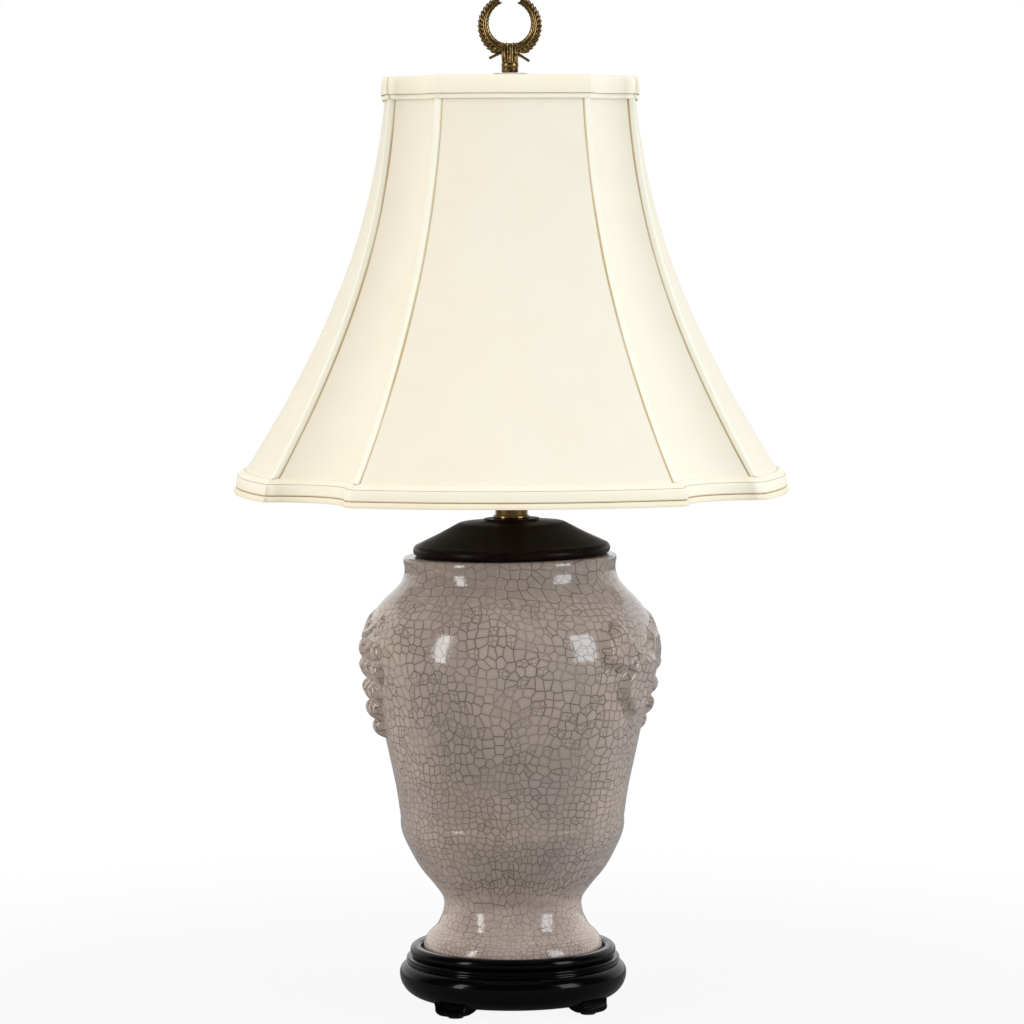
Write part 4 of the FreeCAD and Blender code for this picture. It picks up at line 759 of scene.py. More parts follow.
def makeBand(look, number):
    low, high = look["low"], look["high"]
    middle, tall = (low + high) / 2, high - low
    girth = girthAt(middle)
    hem = look["inside"]
    front = bandLook["front"][hem > 0]
    measured = tall * bandLook["measure"]

    def place(u, v):
        at = (u * 8) % 8
        # laps of the tape near each rib: a second layer that ends in a soft step
        nearest = round(at)
        away = abs(at - nearest) * stretchLength(middle, nearest % 2 == (at < nearest))
        lap = look["lap"] * (1 - fade(*bandLook["lapEnds"], away))
        if v < front:
            t = v / front
            bulge = math.sin(math.pi * between(bandLook["bulge"], t)) ** bandLook["fullness"]
            out = between((look["edge"], look["crown"]), bulge) + lap + between(look["stand"], t)
            z = low + tall * t
            spot = shadePoint(z, at)
            out += waver(spot.x * 30, spot.y * 30, number * 5) * bandLook["wander"]
            out += waver(spot.x * 160, spot.y * 160, z * 200) * bandLook["fineWander"]
        else:
            back = (v - front) / (1 - front)
            out = bandLook["behind"]
            z = high - tall * back
            if look["name"] == "topBand":
                # over the top wire and a little way down inside
                out = look["edge"] - (look["edge"] + hem) * min(back * 2, 1)
                z = high - tall * max(back * 2 - 1, 0)
            elif hem:
                # down behind, then under the bottom wire and back
                z = high - tall * min(back * 1.5, 1)
                under, inmost = bandLook["under"]
                if back > under:
                    out -= hem * fade(under, inmost, back) * (1 - fade(inmost, 1, back))
                    z = low + bandLook["clearance"] * (1 - fade(0.9, 1, back))
        return roundedPoint(min(max(z, low), high), at, out), u * girth, v * measured
    bm = bmesh.new()
    seam = bm.verts.layers.float.new("seam")
    made = shapedGrid(bm, bandLook["columns"], bandLook["profile"], place)
    layer = measureLayer(bm)
    for vert in made:
        share = vert.link_loops[0][layer].uv.y / measured / front
        # darker where the band meets the roll: the seam, and painted shade in the gap
        if look["seamAndGapShade"] and share < 1.02:
            start, end = look["seamAndGapShade"]
            vert[seam] = fade(start, end, share) if start < end else 1 - fade(end, start, share)
    closeUp(bm, 2e-5)
    makePiece(look["name"], bm, roll if look["name"] == "bottomRoll" else tape, "shade",
              [look["node"]], sharpAngle=60)


for number, row in enumerate(bandRows):
    makeBand(dict(zip(bandColumns, row)), number)
print("tapes and bands sewn on")


# Vase: outside and inside stations (radius, height) in millimetres, with the small ridges the jar has
vaseLook = {
    "outside": ((71.6, 44.0), (73.2, 46.4), (73.4, 50.9), (71.8, 55.8), (68.6, 60.2), (65.0, 63.4),
                (62.2, 66.8), (60.2, 70.8), (57.8, 76.5), (56.5, 84.5), (57.8, 90.5), (62.4, 97.5),
                (68.0, 104.5), (74.0, 111.6), (79.9, 120.5), (85.2, 130.6), (88.6, 137.7), (90.6, 143.0),
                (91.7, 147.6), (92.1, 152.4), (92.0, 156.7), (92.8, 163.0), (94.2, 173.0), (96.0, 183.8),
                (102.4, 213.0), (109.0, 243.2), (115.2, 268.0), (118.9, 285.0), (119.7, 296.0),
                (118.6, 308.0), (113.9, 321.3), (104.6, 334.6), (94.7, 344.5), (89.2, 351.2), (86.7, 358.8),
                (86.7, 364.2), (87.4, 368.4), (86.9, 371.2), (84.7, 372.2)),
    "inside": ((74.0, 372.2), (74.0, 361.6), (80.5, 356.0), (106.9, 321.3), (112.7, 293.0), (102.0, 243.0),
               (85.1, 156.7), (65.2, 111.6), (49.2, 86.8), (49.2, 57.0), (6.0, 57.0), (6.0, 44.0)),
    "steps": 7,
    "segments": 208,
    # hand-made body: a slow wander of the wall under the glaze, none at the foot or in the bore
    "wander": 0.00035,
    "wanderZ": (0.05, 0.09),
    "bore": 0.045,
    # the mouth was left a little out of level
    "lean": 0.014,
    "leanZ": (0.325, 0.368),
    # the upper half stands a little to one side of the foot
    "drift": -0.0014,
    "driftZ": (0.22, 0.34),
}
outline = [Vector((radius, height, 0)) * millimetre for radius, height in vaseLook["outside"]]
vaseLine = [(point.x, point.y) for point in smoothThrough(outline, vaseLook["steps"])]


def skinLevels():
    # way up the outside for the crackle, stretched where the jar is narrow so that its cells keep their shape
    total = 0
    levels = [(0.0, vaseLine[0][1])]
    for (lowRadius, low), (highRadius, high) in zip(vaseLine, vaseLine[1:]):
        step = math.hypot(highRadius - lowRadius, high - low)
        total += step * skinRadius / ((lowRadius + highRadius) / 2)
        levels.append((total, high))
    return levels


vaseSkin = skinLevels()


def readLine(line, z, below):
    # what a line of (value, height) says at a height
    for (first, low), (second, high) in zip(line, line[1:]):
        if low <= z <= high:
            return first + (second - first) * (z - low) / max(high - low, 1e-9)
    return line[-1][0] if z > line[-1][1] else below


def vaseRadius(z):
    return readLine(vaseLine, z, vaseLine[-1][0])


def skinLevel(z):
    return readLine(vaseSkin, z, 0)


def driftAside(verts):
    for vert in verts:
        vert.co.x += vaseLook["drift"] * fade(*vaseLook["driftZ"], vert.co.z)


def makeVase():
    look = vaseLook
    profile = vaseLine + [(radius * millimetre, height * millimetre) for radius, height in look["inside"]]
    bm = spinProfile(profile, look["segments"])
    layer = measureLayer(bm)
    levels = {vert: skinLevel(vert.co.z) + max(vaseLine[-1][0] - vert.co.xy.length, 0) for vert in bm.verts}
    for face in bm.faces:
        turns = [math.atan2(loop.vert.co.x, -loop.vert.co.y) for loop in face.loops]
        behind = max(turns) - min(turns) > math.pi
        for loop, turn in zip(face.loops, turns):
            turn += math.tau if behind and turn < 0 else 0
            loop[layer].uv = turn * skinRadius, levels[loop.vert]
    for vert in bm.verts:
        wander = noise.noise(vert.co * 14) * look["wander"] * fade(*look["wanderZ"], vert.co.z)
        flat = Vector((vert.co.x, vert.co.y, 0))
        if flat.length > look["bore"]:
            vert.co += flat.normalized() * wander
        vert.co.z += vert.co.x * look["lean"] * fade(*look["leanZ"], vert.co.z)
    driftAside(bm.verts)
    makePiece("vaseBody", bm, glaze, "base", ["vase"], sharpAngle=50)


makeVase()

# Sprigs: moulded relief on the wall, measured round the belly and up from the table, in millimetres
sprigLook = {
    "belly": 119.7,
    "turns": {"right": 75.0, "left": -113.0},
    # rows of the bunch: grapes, middle round the jar, level, middles out from the wall
    "rows": ((4, 71.5, 297.0, -4.0), (4, 72.5, 280.6, -2.2), (3, 66.3, 262.2, 0.0), (2, 60.9, 246.0, 0.8),
             (1, 63.1, 231.8, 0.2)),
    "grapeRadius": 9.0,
    "pitch": 17.0,
    "scatter": (0.8, 0.8, 0.5, 0.4),  # across, up, radius, out
    "turnover": 0.94,  # share of a grape's radius where its side turns into a slope
    "slope": 2.8,
    # pads under the bunch and the leaves: middle, half width, half height, thickness
    "pads": ((69.0, 276.0, 30.0, 27.0, 1.8), (62.0, 252.0, 15.0, 24.0, 2.4), (4.0, 283.0, 48.0, 20.0, 2.4)),
    # leaf: middle, reach, heading in degrees, thickness
    "leaves": ((-62.0, 304.0, 21.0, 215.0, 7.6), (-30.0, 273.0, 30.0, 262.0, 7.4),
               (2.0, 298.0, 20.0, 60.0, 4.6), (34.0, 312.0, 15.0, 75.0, 3.2), (92.0, 318.0, 9.0, 30.0, 2.2)),
    "lobes": (0.20, 0.7),  # depth, roundness
    "saw": (0.012, 23),  # depth, teeth
    "rim": (0.70, 1.06),
    "hollow": 0.26,
    "vein": (0.3, 1.1),  # depth, width
    # strands: radius and line
    "strands": ((2.8, ((-60.0, 299.0), (-42.0, 296.0), (-22.0, 300.0), (4.0, 308.0), (28.0, 303.0),
                       (50.0, 308.0), (70.0, 312.0), (88.0, 318.0))),
                (1.6, ((4.0, 308.0), (9.0, 318.0), (18.0, 316.0), (18.0, 308.0))),
                (1.6, ((50.0, 308.0), (56.0, 316.0), (64.0, 319.0)))),
    "strandSteps": 5,
    "area": (-108.0, 114.0, 214.0, 334.0),
    "step": 1.1,
    "blend": 0.90,
    "sink": 0.4,
    "under": 0.5,
    "depth": 2.6,
    "softening": 2,
}
noRelief = -9.0


def leafHeight(across, up, leaf):
    look = sprigLook
    middleAcross, middleUp, reach, heading, thick = leaf
    away = Vector((across - middleAcross, up - middleUp))
    if away.length > reach * 1.25:
        return noRelief
    angle = math.atan2(away.y, away.x) - math.radians(heading)
    deep, roundness = look["lobes"]
    lobes = 1 - deep + deep * abs(math.cos(angle * 2.5)) ** roundness
    sawDeep, teeth = look["saw"]
    edge = away.length / (reach * lobes * (1 + sawDeep * math.sin(angle * teeth)))
    body = thick * (1 - fade(*look["rim"], edge)) * (1 - look["hollow"] * (1 - fade(0.0, 0.7, edge)))
    # five veins run from the stalk to the lobes
    spread = abs((math.degrees(angle) + 36) % 72 - 36)
    veinDeep, veinWidth = look["vein"]
    vein = math.exp(-(math.radians(spread) * away.length / veinWidth) ** 2) * (1 - edge) * veinDeep
    return body - vein - look["sink"] if edge < look["rim"][1] else noRelief


def padHeight(across, up, pad):
    middleAcross, middleUp, wide, tall, thick = pad
    away = math.hypot((across - middleAcross) / wide, (up - middleUp) / tall)
    return thick * math.sqrt(max(1 - away ** 4, 0)) - sprigLook["sink"] if away < 1 else noRelief


def strandHeight(across, up, strand):
    radius, line = strand
    here = Vector((across, up))
    best = radius
    for start, end in zip(line, line[1:]):
        way = end - start
        t = min(max((here - start).dot(way) / way.length_squared, 0), 1)
        best = min(best, (here - start - way * t).length)
    return math.sqrt(radius ** 2 - best ** 2) if best < radius else noRelief


def grapeHeight(across, up, grape):
    # a ball, its steep side carried on down to the wall
    spotAcross, spotUp, radius, stand = grape
    away = math.hypot(across - spotAcross, up - spotUp)
    turnover = radius * sprigLook["turnover"]
    if away < turnover:
        return math.sqrt(radius ** 2 - away ** 2) + stand
    return stand + math.sqrt(radius ** 2 - turnover ** 2) - (away - turnover) * sprigLook["slope"]


def grapeSpots():
    look = sprigLook
    spots = []
    for count, middle, level, stand in look["rows"]:
        for place in range(count):
            across = middle + (place - (count - 1) / 2) * look["pitch"]
            spots.append([value + random.uniform(-reach, reach) for value, reach
                          in zip((across, level, look["grapeRadius"], stand), look["scatter"])])
    return spots


def makeSprig(name, turn):
    look = sprigLook
    strands = []
    for radius, line in look["strands"]:
        curve = smoothThrough([Vector((*point, 0)) for point in line], look["strandSteps"])
        strands.append((radius, [point.to_2d() for point in curve]))
    shapes = [(grapeHeight, grapeSpots()), (padHeight, look["pads"]), (leafHeight, look["leaves"]),
              (strandHeight, strands)]
    left, right, low, high = look["area"]
    heights = []

    def relief(across, up):
        # the highest of the shapes, run softly into the ones nearly as high
        found = [-look["under"]] + [shape(across, up, item) for shape, items in shapes for item in items]
        top = max(found)
        soft = sum(math.exp((height - top) * look["blend"]) for height in found if height > top - 8)
        return top + (math.log(soft) / look["blend"] if top > -look["under"] else 0)

    def onJar(angle, radius, z):
        return Vector((radius * math.sin(angle), -radius * math.cos(angle), z))

    def place(u, v):
        across, up = between((left, right), u), between((low, high), v)
        heights.append(relief(across, up))
        radius = vaseRadius(up * millimetre) + heights[-1] * millimetre
        point = onJar(across / look["belly"] + math.radians(turn), radius, up * millimetre)
        # the crackle runs on over the relief, a little off its place on the jar
        return point, across / look["belly"] * skinRadius + 0.003, skinLevel(up * millimetre) + 0.002
    bm = bmesh.new()
    made = shapedGrid(bm, int((right - left) / look["step"]), int((high - low) / look["step"]), place)
    height = dict(zip(made, heights))
    bare = [face for face in bm.faces if all(height[vert] <= -look["under"] + 0.02 for vert in face.verts)]
    bmesh.ops.delete(bm, geom=bare, context="FACES")
    # soften the carving as thick glaze does
    for _ in range(look["softening"]):
        bmesh.ops.smooth_vert(bm, verts=[vert for vert in bm.verts if not vert.is_boundary], factor=0.5,
                              use_axis_x=True, use_axis_y=True, use_axis_z=True)
    back = bmesh.ops.extrude_face_region(bm, geom=list(bm.faces))["geom"]
    for vert in [item for item in back if isinstance(item, bmesh.types.BMVert)]:
        radius = vaseRadius(vert.co.z) - look["depth"] * millimetre
        vert.co = onJar(math.atan2(vert.co.x, -vert.co.y), radius, vert.co.z)
    driftAside(bm.verts)
    bmesh.ops.recalc_face_normals(bm, faces=bm.faces)
    makePiece(name, bm, glaze, "base", ["sprig_" + name[5:].lower()])


makeSprig("sprigRight", sprigLook["turns"]["right"])
makeSprig("sprigLeft", sprigLook["turns"]["left"])
print("vase and sprigs thrown")


def arcTo(start, end, radius, steps):
    # points on an arc that bulges away from the wood, from start to just before end, in millimetres
    start, end = Vector(start), Vector(end)
    way = end - start
    out = Vector((way.y, -way.x)).normalized()
    middle = (start + end) / 2 - out * math.sqrt(max(radius ** 2 - way.length_squared / 4, 0))
    turn = 2 * math.asin(min(way.length / 2 / radius, 1))
    line = []
    for step in range(steps):
        spoke = start - middle
        spoke.rotate(Matrix.Rotation(turn * step / steps, 2))
        line.append(tuple(middle + spoke))
    return line


def spunPiece(name, profile, segments, material, node, body="base", sharpAngle=45):
    bm = spinProfile([(radius * millimetre, height * millimetre) for radius, height in profile], segments)
    return makePiece(name, bm, material, body, [node], sharpAngle=sharpAngle)


def rubBright(piece, share):
    # how rubbed a metal is at each point, from 0 to 1
    marks = piece.data.attributes.new("rubbed", "FLOAT", "POINT").data
    for vert, mark in zip(piece.data.vertices, marks):
        mark.value = share(vert.co)


# Stand, in millimetres: an apron with a bulge, two reeds, and the ring that holds the vase's foot.
# An arc is given by its start, end and radius
standLook = {
    "apron": ((80.0, 8.9), (93.5, 28.0), 18.9),
    "shoulder": ((93.5, 28.0), (87.4, 35.6), 9.4),
    "reeds": ((87.3, 36.1), (87.2, 38.5), (86.6, 40.9)),
    "reedRound": 1.35,
    "groove": (83.0, 41.6),
    "ring": ((83.2, 42.0), (79.8, 50.6), 5.0),
    "lip": ((79.8, 50.6), (75.1, 47.0), 4.2),
    "inside": ((75.1, 44.0), (5.4, 44.0), (5.4, 30.0), (70.0, 30.0), (70.0, 8.9)),
}
# the way in for the cord, through the back, in metres: radius, depth and middle of its two bores
inletLook = {"bores": ((0.00525, 0.04, 0.082), (0.0083, 0.01, 0.0925)), "level": 0.0203}
feetLook = {"voxel": 0.00075, "smooth": 6, "factor": 0.5}


def makeStand():
    look = standLook
    reeds = look["reeds"]
    profile = arcTo(*look["apron"], 16) + arcTo(*look["shoulder"], 10) + [look["shoulder"][1]]
    for start, end in zip(reeds, reeds[1:]):
        profile += arcTo(start, end, look["reedRound"], 8)
    profile += [reeds[-1], look["groove"]] + arcTo(*look["ring"], 14)
    profile += arcTo(*look["lip"], 8) + [look["lip"][1], *look["inside"]]
    return spunPiece("turnedStand", profile, 192, standLacquer, "stand_body", sharpAngle=38)


def settle(piece):
    # work a piece's modifiers into its mesh
    graph = bpy.context.evaluated_depsgraph_get()
    mesh = bpy.data.meshes.new_from_object(piece.evaluated_get(graph))
    piece.modifiers.clear()
    piece.data = mesh


def drillInlet(stand):
    bm = bmesh.new()
    for radius, depth, away in inletLook["bores"]:
        place = Matrix.Translation((0, away, inletLook["level"])) @ Matrix.Rotation(math.pi / 2, 4, "X")
        bmesh.ops.create_cone(bm, cap_ends=True, segments=40, radius1=radius, radius2=radius, depth=depth,
                              matrix=place)
    drill = asObject("drill", bm)
    cut = stand.modifiers.new("cut", "BOOLEAN")
    cut.object = drill
    cut.solver = "EXACT"
    settle(stand)
    bpy.data.objects.remove(drill)


def makeFeet():
    # the CAD's feet, rounded as if carved and rubbed
    bm = bmesh.new()
    bm.from_mesh(bpy.data.objects["stand_feet"].data)
    closeUp(bm, 2e-6)
    feet = makePiece("bracketFeet", bm, standLacquer, "base", ["stand_feet"])
    remesh = feet.modifiers.new("carve", "REMESH")
    remesh.mode = "VOXEL"
    remesh.voxel_size = feetLook["voxel"]
    remesh.use_smooth_shade = True
    smooth = feet.modifiers.new("rub", "SMOOTH")
    smooth.iterations = feetLook["smooth"]
    smooth.factor = feetLook["factor"]
    settle(feet)


drillInlet(makeStand())
makeFeet()
print("stand turned, feet carved")

# Cap in the mouth of the vase, and the brass neck above it, as profiles in millimetres
capLook = {
    "spigot": ((5.4, 366.2), (73.5, 366.2), (73.5, 372.3)),
    "rim": ((77.4, 372.3), (77.0, 381.7), 4.85),
    "slope": ((77.0, 381.7), (73.6, 383.5), (60.4, 389.7), (45.6, 397.6), (43.4, 398.7), (41.6, 399.2),
              (24.0, 400.3), (23.1, 400.6), (22.9, 401.8), (22.4, 402.2), (5.4, 402.2)),
}
neckLook = {
    "outline": ((12.1, 402.2), (14.6, 402.2), (14.9, 403.2), (14.7, 404.3), (13.6, 404.7), (13.3, 405.4),
                (13.3, 451.6), (13.0, 452.6), (12.4, 453.0), (12.1, 453.0)),
    "rubbedZ": (0.4041, 0.4049),
}
collarLook = {
    "outline": ((3.3, 765.2), (5.4, 765.2), (6.5, 765.6), (6.9, 766.4), (6.9, 767.0), (6.5, 767.3),
                (6.6, 767.7), (7.0, 768.0), (7.0, 768.5), (6.5, 768.9), (6.4, 769.3), (6.9, 769.7),
                (7.1, 770.8), (7.1, 772.4), (6.8, 773.2), (6.4, 773.6), (3.3, 773.6)),
    "rubbedZ": (0.7680, 0.7684),
    "rubbedBeyond": 0.0066,
}


def makeCap():
    look = capLook
    profile = list(look["spigot"]) + arcTo(*look["rim"], 16) + list(look["slope"])
    cap = spunPiece("turnedCap", profile, 176, capWood, "vase_cap", sharpAngle=32)
    for vert in cap.data.vertices:
        vert.co.z += vert.co.x * vaseLook["lean"]


def makeNeck():
    neck = spunPiece("neckSleeve", neckLook["outline"], 96, neckBronze, "neck")
    rubBright(neck, lambda point: 1 - fade(*neckLook["rubbedZ"], point.z))


def makeCollar():
    look = collarLook
    collar = spunPiece("finialNut", look["outline"], 64, agedBrass, "finial_collar", "finial")
    rubBright(collar, lambda point: (0.95 * fade(*look["rubbedZ"], point.z)
                                     if point.xy.length > look["rubbedBeyond"] else 0))


# Wreath: laurel tied at the foot. Angles in degrees from level, sizes in millimetres from its middle
wreathLook = {
    "middle": 804.4,
    "radius": 20.6,
    "sweep": (-75.0, 66.0),
    "steps": 26,
    # bars of each half: in front, radii at the foot and the tip, how rubbed, sides
    "bars": ((2.0, (2.3, 1.15), 0.9, 10), (-2.0, (2.3, 1.15), 0.6, 10), (0.0, (3.5, 1.7), 0.0, 14)),
    # rows of leaves: out or in, count, size, how far they lean along and aside
    "leaves": ((1, 15, (9.2, 4.2, 1.9), 0.89, 0.46), (-1, 13, (7.6, 3.6, 1.7), 0.93, 0.36)),
    "slimming": 0.42,
    "leafOut": 1.6,
    "leafFront": 1.7,
    "leafLean": 0.20,
    # cut twigs below the tie, left and right: (across, level) at the start and at the cut end
    "twigs": (((-5.5, -22.2), (-16.9, -27.6)), ((5.0, -23.2), (15.8, -30.0))),
    "twigRadii": (1.375, 1.25, 1.1875, 1.125, 1.1875),
    "twigFront": 1.5,
    # turns of ribbon round the stalks: level, half width, half depth, radius
    "ties": ((-19.6, 7.4, 4.6, 0.75), (-22.8, 7.6, 4.6, 0.8)),
    # rings of bark lumps: level, turn in radians
    "bark": ((-18.6, 0.0), (-20.6, 0.45)),
    "barkLumps": 7,
    "barkRing": (5.2, 4.4),
    "barkLean": 0.4,
    "barkSize": (4.2, 3.2, 2.6),
    "stalks": 13,
    "stalkRing": (5.0, 4.8),
    "stalkRadius": 1.6,
    "stalkLine": ((0.8, -16.0), (1.1, -20.0), (1.12, -24.0), (1.02, -28.0), (1.0, -30.8)),
    "core": (-16.0, -23.0, -30.8),
    "coreRadius": 5.0,
    "rubbed": {"twig": 0.75, "tie": 0.5, "stalks": (0.22, 0.05), "core": 0.1},
}


def leafShape(bm, rubbed, foot, along, flat, size):
    # one pointed leaf from foot along a direction, its face square to flat
    length, width, thick = (value * millimetre for value in size)
    across = along.cross(flat).normalized()
    for vert in bmesh.ops.create_uvsphere(bm, u_segments=8, v_segments=7, radius=1)["verts"]:
        x, y, z = vert.co
        share = (z + 1) / 2
        wide = 1.25 * (1 - share) ** 0.35
        ridge = 1 + 0.55 * max(0, 1 - abs(x) * 2.2)
        vert[rubbed] = 0.55 * max(0, 1 - abs(x) * 2.4) * (y > 0) + 0.30 * share
        vert.co = (foot + along * (share * length) + across * (x * width / 2 * wide)
                   + flat * (y * thick / 2 * ridge * (1.1 - 0.5 * share)))


def makeTube(bm, rubbed, path, radii, bright, sides):
    # a round bar along a path: rings of the given radii, its ends closed flat
    rings = []
    for number, point in enumerate(path):
        before, after = path[max(number - 1, 0)], path[min(number + 1, len(path) - 1)]
        along = (after - before).normalized()
        out = along.cross(Vector((0, 1, 0))).normalized()
        turnTo = Matrix((out, along.cross(out), along)).transposed().to_4x4()
        made = bmesh.ops.create_circle(bm, cap_ends=number in (0, len(path) - 1), segments=sides,
                                       radius=radii[number] * millimetre,
                                       matrix=Matrix.Translation(point) @ turnTo)["verts"]
        for vert in made:
            vert[rubbed] = bright
        rings.append({edge for vert in made for edge in vert.link_edges})
    for low, high in zip(rings, rings[1:]):
        bmesh.ops.bridge_loops(bm, edges=list(low | high))


def makeWreath():
    look = wreathLook
    bm = bmesh.new()
    rubbed = bm.verts.layers.float.new("rubbed")

    def at(across, level, front=0.0):
        return Vector((across, -front, look["middle"] + level)) * millimetre

    def onRib(angle, side, out=0.0, front=0.0):
        turn = math.radians(angle)
        radius = look["radius"] + out
        return at(side * math.cos(turn) * radius, math.sin(turn) * radius, front)

    def onRound(part, size, level, reach=1.0):
        # a point round the stalks, part of a turn from the back; size is half the width and half the depth
        turn = part * math.tau
        return at(math.sin(turn) * size[0] * reach, level, -math.cos(turn) * size[1] * reach)
    shares = [step / look["steps"] for step in range(look["steps"] + 1)]
    for side in (-1, 1):
        for front, radii, bright, sides in look["bars"]:
            makeTube(bm, rubbed, [onRib(between(look["sweep"], share), side, 0, front) for share in shares],
                     [between(radii, share) for share in shares], bright, sides)
        for outer, count, size, onward, aside in look["leaves"]:
            for number in range(count):
                share = (number + 0.2) / count
                angle = between((look["sweep"][0] + 2, look["sweep"][1]), share)
                turn = math.radians(angle)
                tangent = Vector((-side * math.sin(turn), 0, math.cos(turn)))
                radial = Vector((side * math.cos(turn), 0, math.sin(turn)))
                slim = 1 - look["slimming"] * share
                for face in (1, -1):
                    lean = Vector((0, -face * look["leafLean"], 0))
                    way = (tangent * onward + radial * outer * aside + lean).normalized()
                    foot = onRib(angle, side, outer * look["leafOut"] * slim, face * look["leafFront"])
                    leafShape(bm, rubbed, foot, way, Vector((0, -face, 0)),
                              (size[0] * slim, size[1] * slim, size[2]))
    for start, end in look["twigs"]:
        spots = [(between((start[0], end[0]), step / 4), between((start[1], end[1]), step / 4))
                 for step in range(5)]
        path = [at(across, level, look["twigFront"]) for across, level in spots]
        makeTube(bm, rubbed, path, look["twigRadii"], look["rubbed"]["twig"], 9)
    for level, wide, deep, thick in look["ties"]:
        ring = [onRound(step / 24, (wide, deep), level) for step in range(25)]
        makeTube(bm, rubbed, ring, [thick] * len(ring), look["rubbed"]["tie"], 8)
    for level, shift in look["bark"]:
        for number in range(look["barkLumps"]):
            part = number / look["barkLumps"] + shift / math.tau
            out = Vector((math.sin(part * math.tau), math.cos(part * math.tau), 0))
            way = (out * look["barkLean"] + Vector((0, 0, 1))).normalized()
            leafShape(bm, rubbed, onRound(part, look["barkRing"], level), way, out, look["barkSize"])
    for number in range(look["stalks"]):
        path = [onRound(number / look["stalks"], look["stalkRing"], level, reach)
                for reach, level in look["stalkLine"]]
        makeTube(bm, rubbed, path, [look["stalkRadius"]] * len(path), look["rubbed"]["stalks"][number % 2], 8)
    core = [at(0, level) for level in look["core"]]
    makeTube(bm, rubbed, core, [look["coreRadius"]] * len(core), look["rubbed"]["core"], 16)
    bmesh.ops.recalc_face_normals(bm, faces=bm.faces)
    makePiece("laurelWreath", bm, agedBrass, "finial", ["finial_wreath"], sharpAngle=50)


makeCap()
makeNeck()
makeWreath()
makeCollar()
print("neck and finial cast")

# the CAD's own pieces get their finishes, those that are drawn anew the finish of their stand-in
finishes = (
    (footRubber, "foot_pads"), (inletPlastic, "cord_bushing"), (linerBoard, "socket_liner"),
    (zincSteel, "base_washer base_locknut lamp_pipe saddle_locknut cap_screw terminal_screws"),
    (harpBrass, "harp_saddle harp_bow harp_stud ferrule_left ferrule_right"),
    (frameWire, "spider_hub spider_arms top_ring bottom_ring rib_wires"),
    (socketBrass, "socket_cap socket_shell centre_contact switch_shaft"),
    (phenolic, "socket_body switch_knob"), (shellAluminium, "screw_shell bulb_screw_cap"),
    (solder, "bulb_contact"), (frostedGlass, "bulb_globe"), (standLacquer, "stand_body stand_feet"),
    (glaze, "vase sprig_left sprig_right"), (capWood, "vase_cap"), (neckBronze, "neck"),
    (agedBrass, "finial_collar finial_wreath"), (liningSilk, "shade_lining"),
    (tape, "rib_strips top_trim top_piping bottom_trim bottom_lip bottom_roll"),
)
nodeFinishes = {node: finish for finish, names in finishes for node in names.split()}
for node in nodes:
    for slot in bpy.data.objects[node].material_slots:
        slot.material = nodeFinishes.get(node, silk)
print("finishes on the CAD's pieces:", len(nodes))

# Studio: pale floor in a white room, two tall softboxes in front, a lamp above and one behind
studioLook = {
    "floorSize": 16.0,
    "floorColour": screenColour(165, 165, 165),
    # share of plain white the camera sees in the floor: near and far, and between which distances
    "floorGlow": (0.91, 1.0),
    "floorGlowEdges": (0.30, 0.9),
    "fill": (0.40, 0.84),  # light of the room from straight ahead, and from the sides
    "mirrorFront": 0.05,  # what shiny things see of the room in front; behind they see all of it
    # azimuth from the front, distance, height, height it looks at, width, tall, watts, tint
    "lamps": {"softbox0": (-57.0, 2.3, 0.78, 0.45, 0.42, 1.6, 21.0, (1.0, 1.0, 0.985)),
              "softbox1": (58.0, 2.3, 0.80, 0.45, 0.78, 1.5, 27.0, (0.87, 0.93, 1.0)),
              "topLight": (0.0, 0.2, 2.6, 0.4, 1.8, 1.8, 8.0, (1.0, 1.0, 1.0)),
              "backLight": (180.0, 2.6, 1.5, 0.4, 1.6, 1.2, 12.0, (1.0, 1.0, 1.0))},
}


def makeFloor():
    look = studioLook
    bm = bmesh.new()
    bmesh.ops.create_grid(bm, x_segments=1, y_segments=1, size=look["floorSize"] / 2)
    floor = asObject("studioFloor", bm)
    material, tree, shader = newMaterial("paleFloor", look["floorColour"], 0.9, {"Specular IOR Level": 0.0})
    rays = addNode(tree, "ShaderNodeLightPath").outputs
    seen = maths("ADD", rays["Is Camera Ray"], rays["Is Transmission Ray"], clamp=True)
    white = addNode(tree, "ShaderNodeEmission", {"Color": (1, 1, 1, 1), "Strength": 1.0})
    away = vectorMaths("LENGTH", objectPoint(tree), output="Value")
    share = maths("MULTIPLY", seen, ramp(away, *look["floorGlowEdges"], *look["floorGlow"]))
    mix = addNode(tree, "ShaderNodeMixShader", {0: share, 1: shader.outputs[0], 2: white.outputs[0]})
    feed(tree.nodes["Material Output"], {"Surface": mix.outputs[0]})
    floor.data.materials.append(material)


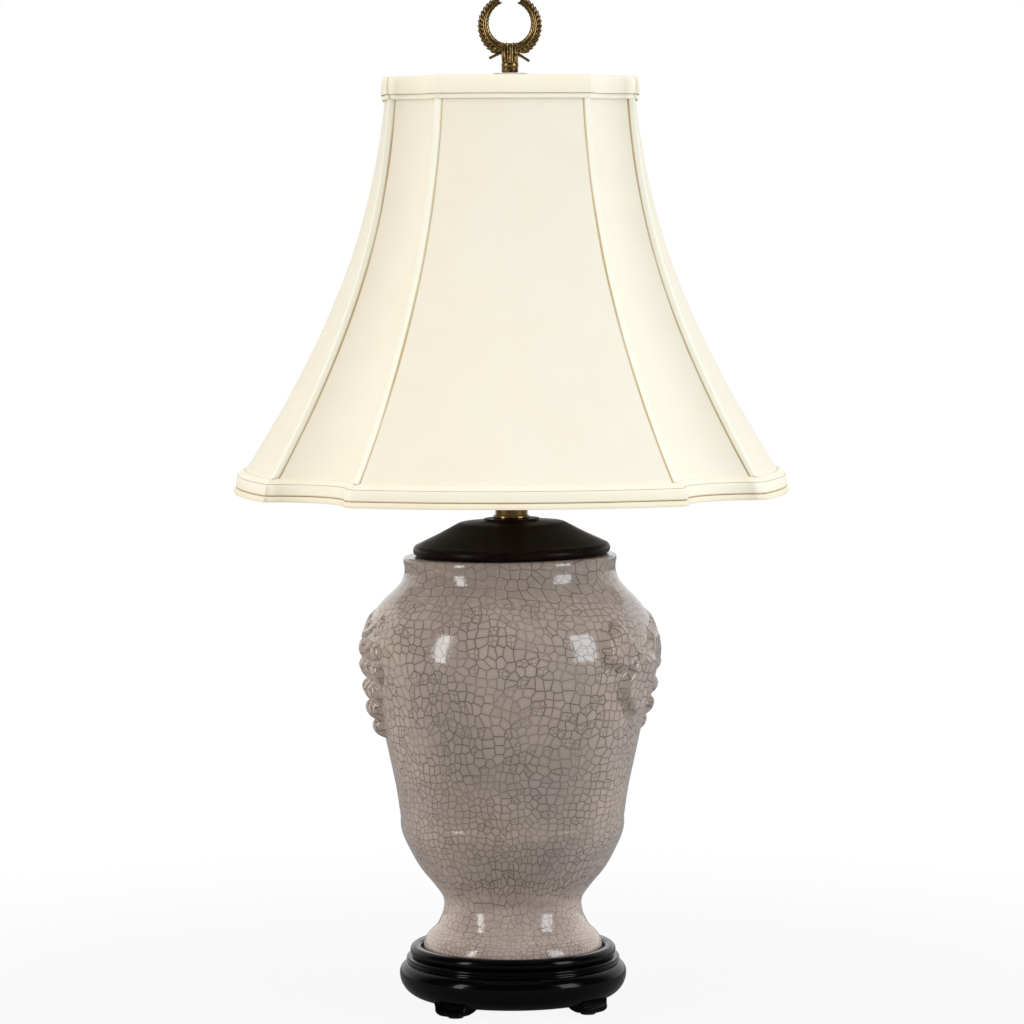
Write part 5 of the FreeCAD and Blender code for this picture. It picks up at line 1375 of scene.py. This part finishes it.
def makeRoom():
    # white to the eye; shiny things see little of it in front, and it lights the lamp from the sides
    look = studioLook
    world = bpy.data.worlds.new("studioWorld")
    scene.world = world
    world.use_nodes = True
    tree = world.node_tree
    rays = addNode(tree, "ShaderNodeLightPath").outputs
    across, behind, _ = splitUp(addNode(tree, "ShaderNodeTexCoord").outputs["Generated"])
    seen = maths("ADD", rays["Is Camera Ray"], rays["Is Transmission Ray"], clamp=True)
    mirrored = maths("MULTIPLY", rays["Is Glossy Ray"], ramp(behind, 0.15, 0.75, look["mirrorFront"], 1.0))
    beside = ramp(maths("ABSOLUTE", across), 0.0, 0.85, *look["fill"])
    fill = maths("MULTIPLY", rays["Is Diffuse Ray"], beside)
    strength = maths("ADD", maths("MAXIMUM", seen, mirrored), fill, clamp=True)
    feed(tree.nodes["Background"], {"Color": (1, 1, 1, 1), "Strength": strength})


def makeLamps():
    for name, (azimuth, away, high, aim, width, tall, watts, tint) in studioLook["lamps"].items():
        turn = math.radians(azimuth)
        spot = Vector((math.sin(turn) * away, -math.cos(turn) * away, high))
        data = bpy.data.lights.new(name, "AREA")
        data.shape = "RECTANGLE"
        data.size, data.size_y, data.energy, data.color = width, tall, watts, tint
        lamp = bpy.data.objects.new(name, data)
        lamp.location = spot
        lamp.rotation_euler = (Vector((0, 0, aim)) - spot).to_track_quat("-Z", "Y").to_euler()
        scene.collection.objects.link(lamp)


makeFloor()
makeRoom()
makeLamps()

# Camera where the photograph was taken from, held a little out of level as it was
cameraLook = {"azimuth": 1.1, "distance": 3.417, "height": 0.663, "aim": 0.407, "lens": 147.0, "sensor": 36.0,
              "roll": -0.20, "shift": 0.0005}


def makeCamera():
    look = cameraLook
    turn = math.radians(look["azimuth"])
    spot = Vector((-math.sin(turn) * look["distance"], -math.cos(turn) * look["distance"], look["height"]))
    data = bpy.data.cameras.new("camera")
    data.lens = look["lens"]
    data.sensor_width = look["sensor"]
    data.shift_x = look["shift"]
    camera = bpy.data.objects.new("camera", data)
    camera.location = spot
    facing = (Vector((0, 0, look["aim"])) - spot).to_track_quat("-Z", "Y")
    camera.rotation_euler = (facing @ Quaternion((0, 0, 1), math.radians(look["roll"]))).to_euler()
    scene.collection.objects.link(camera)
    scene.camera = camera


makeCamera()
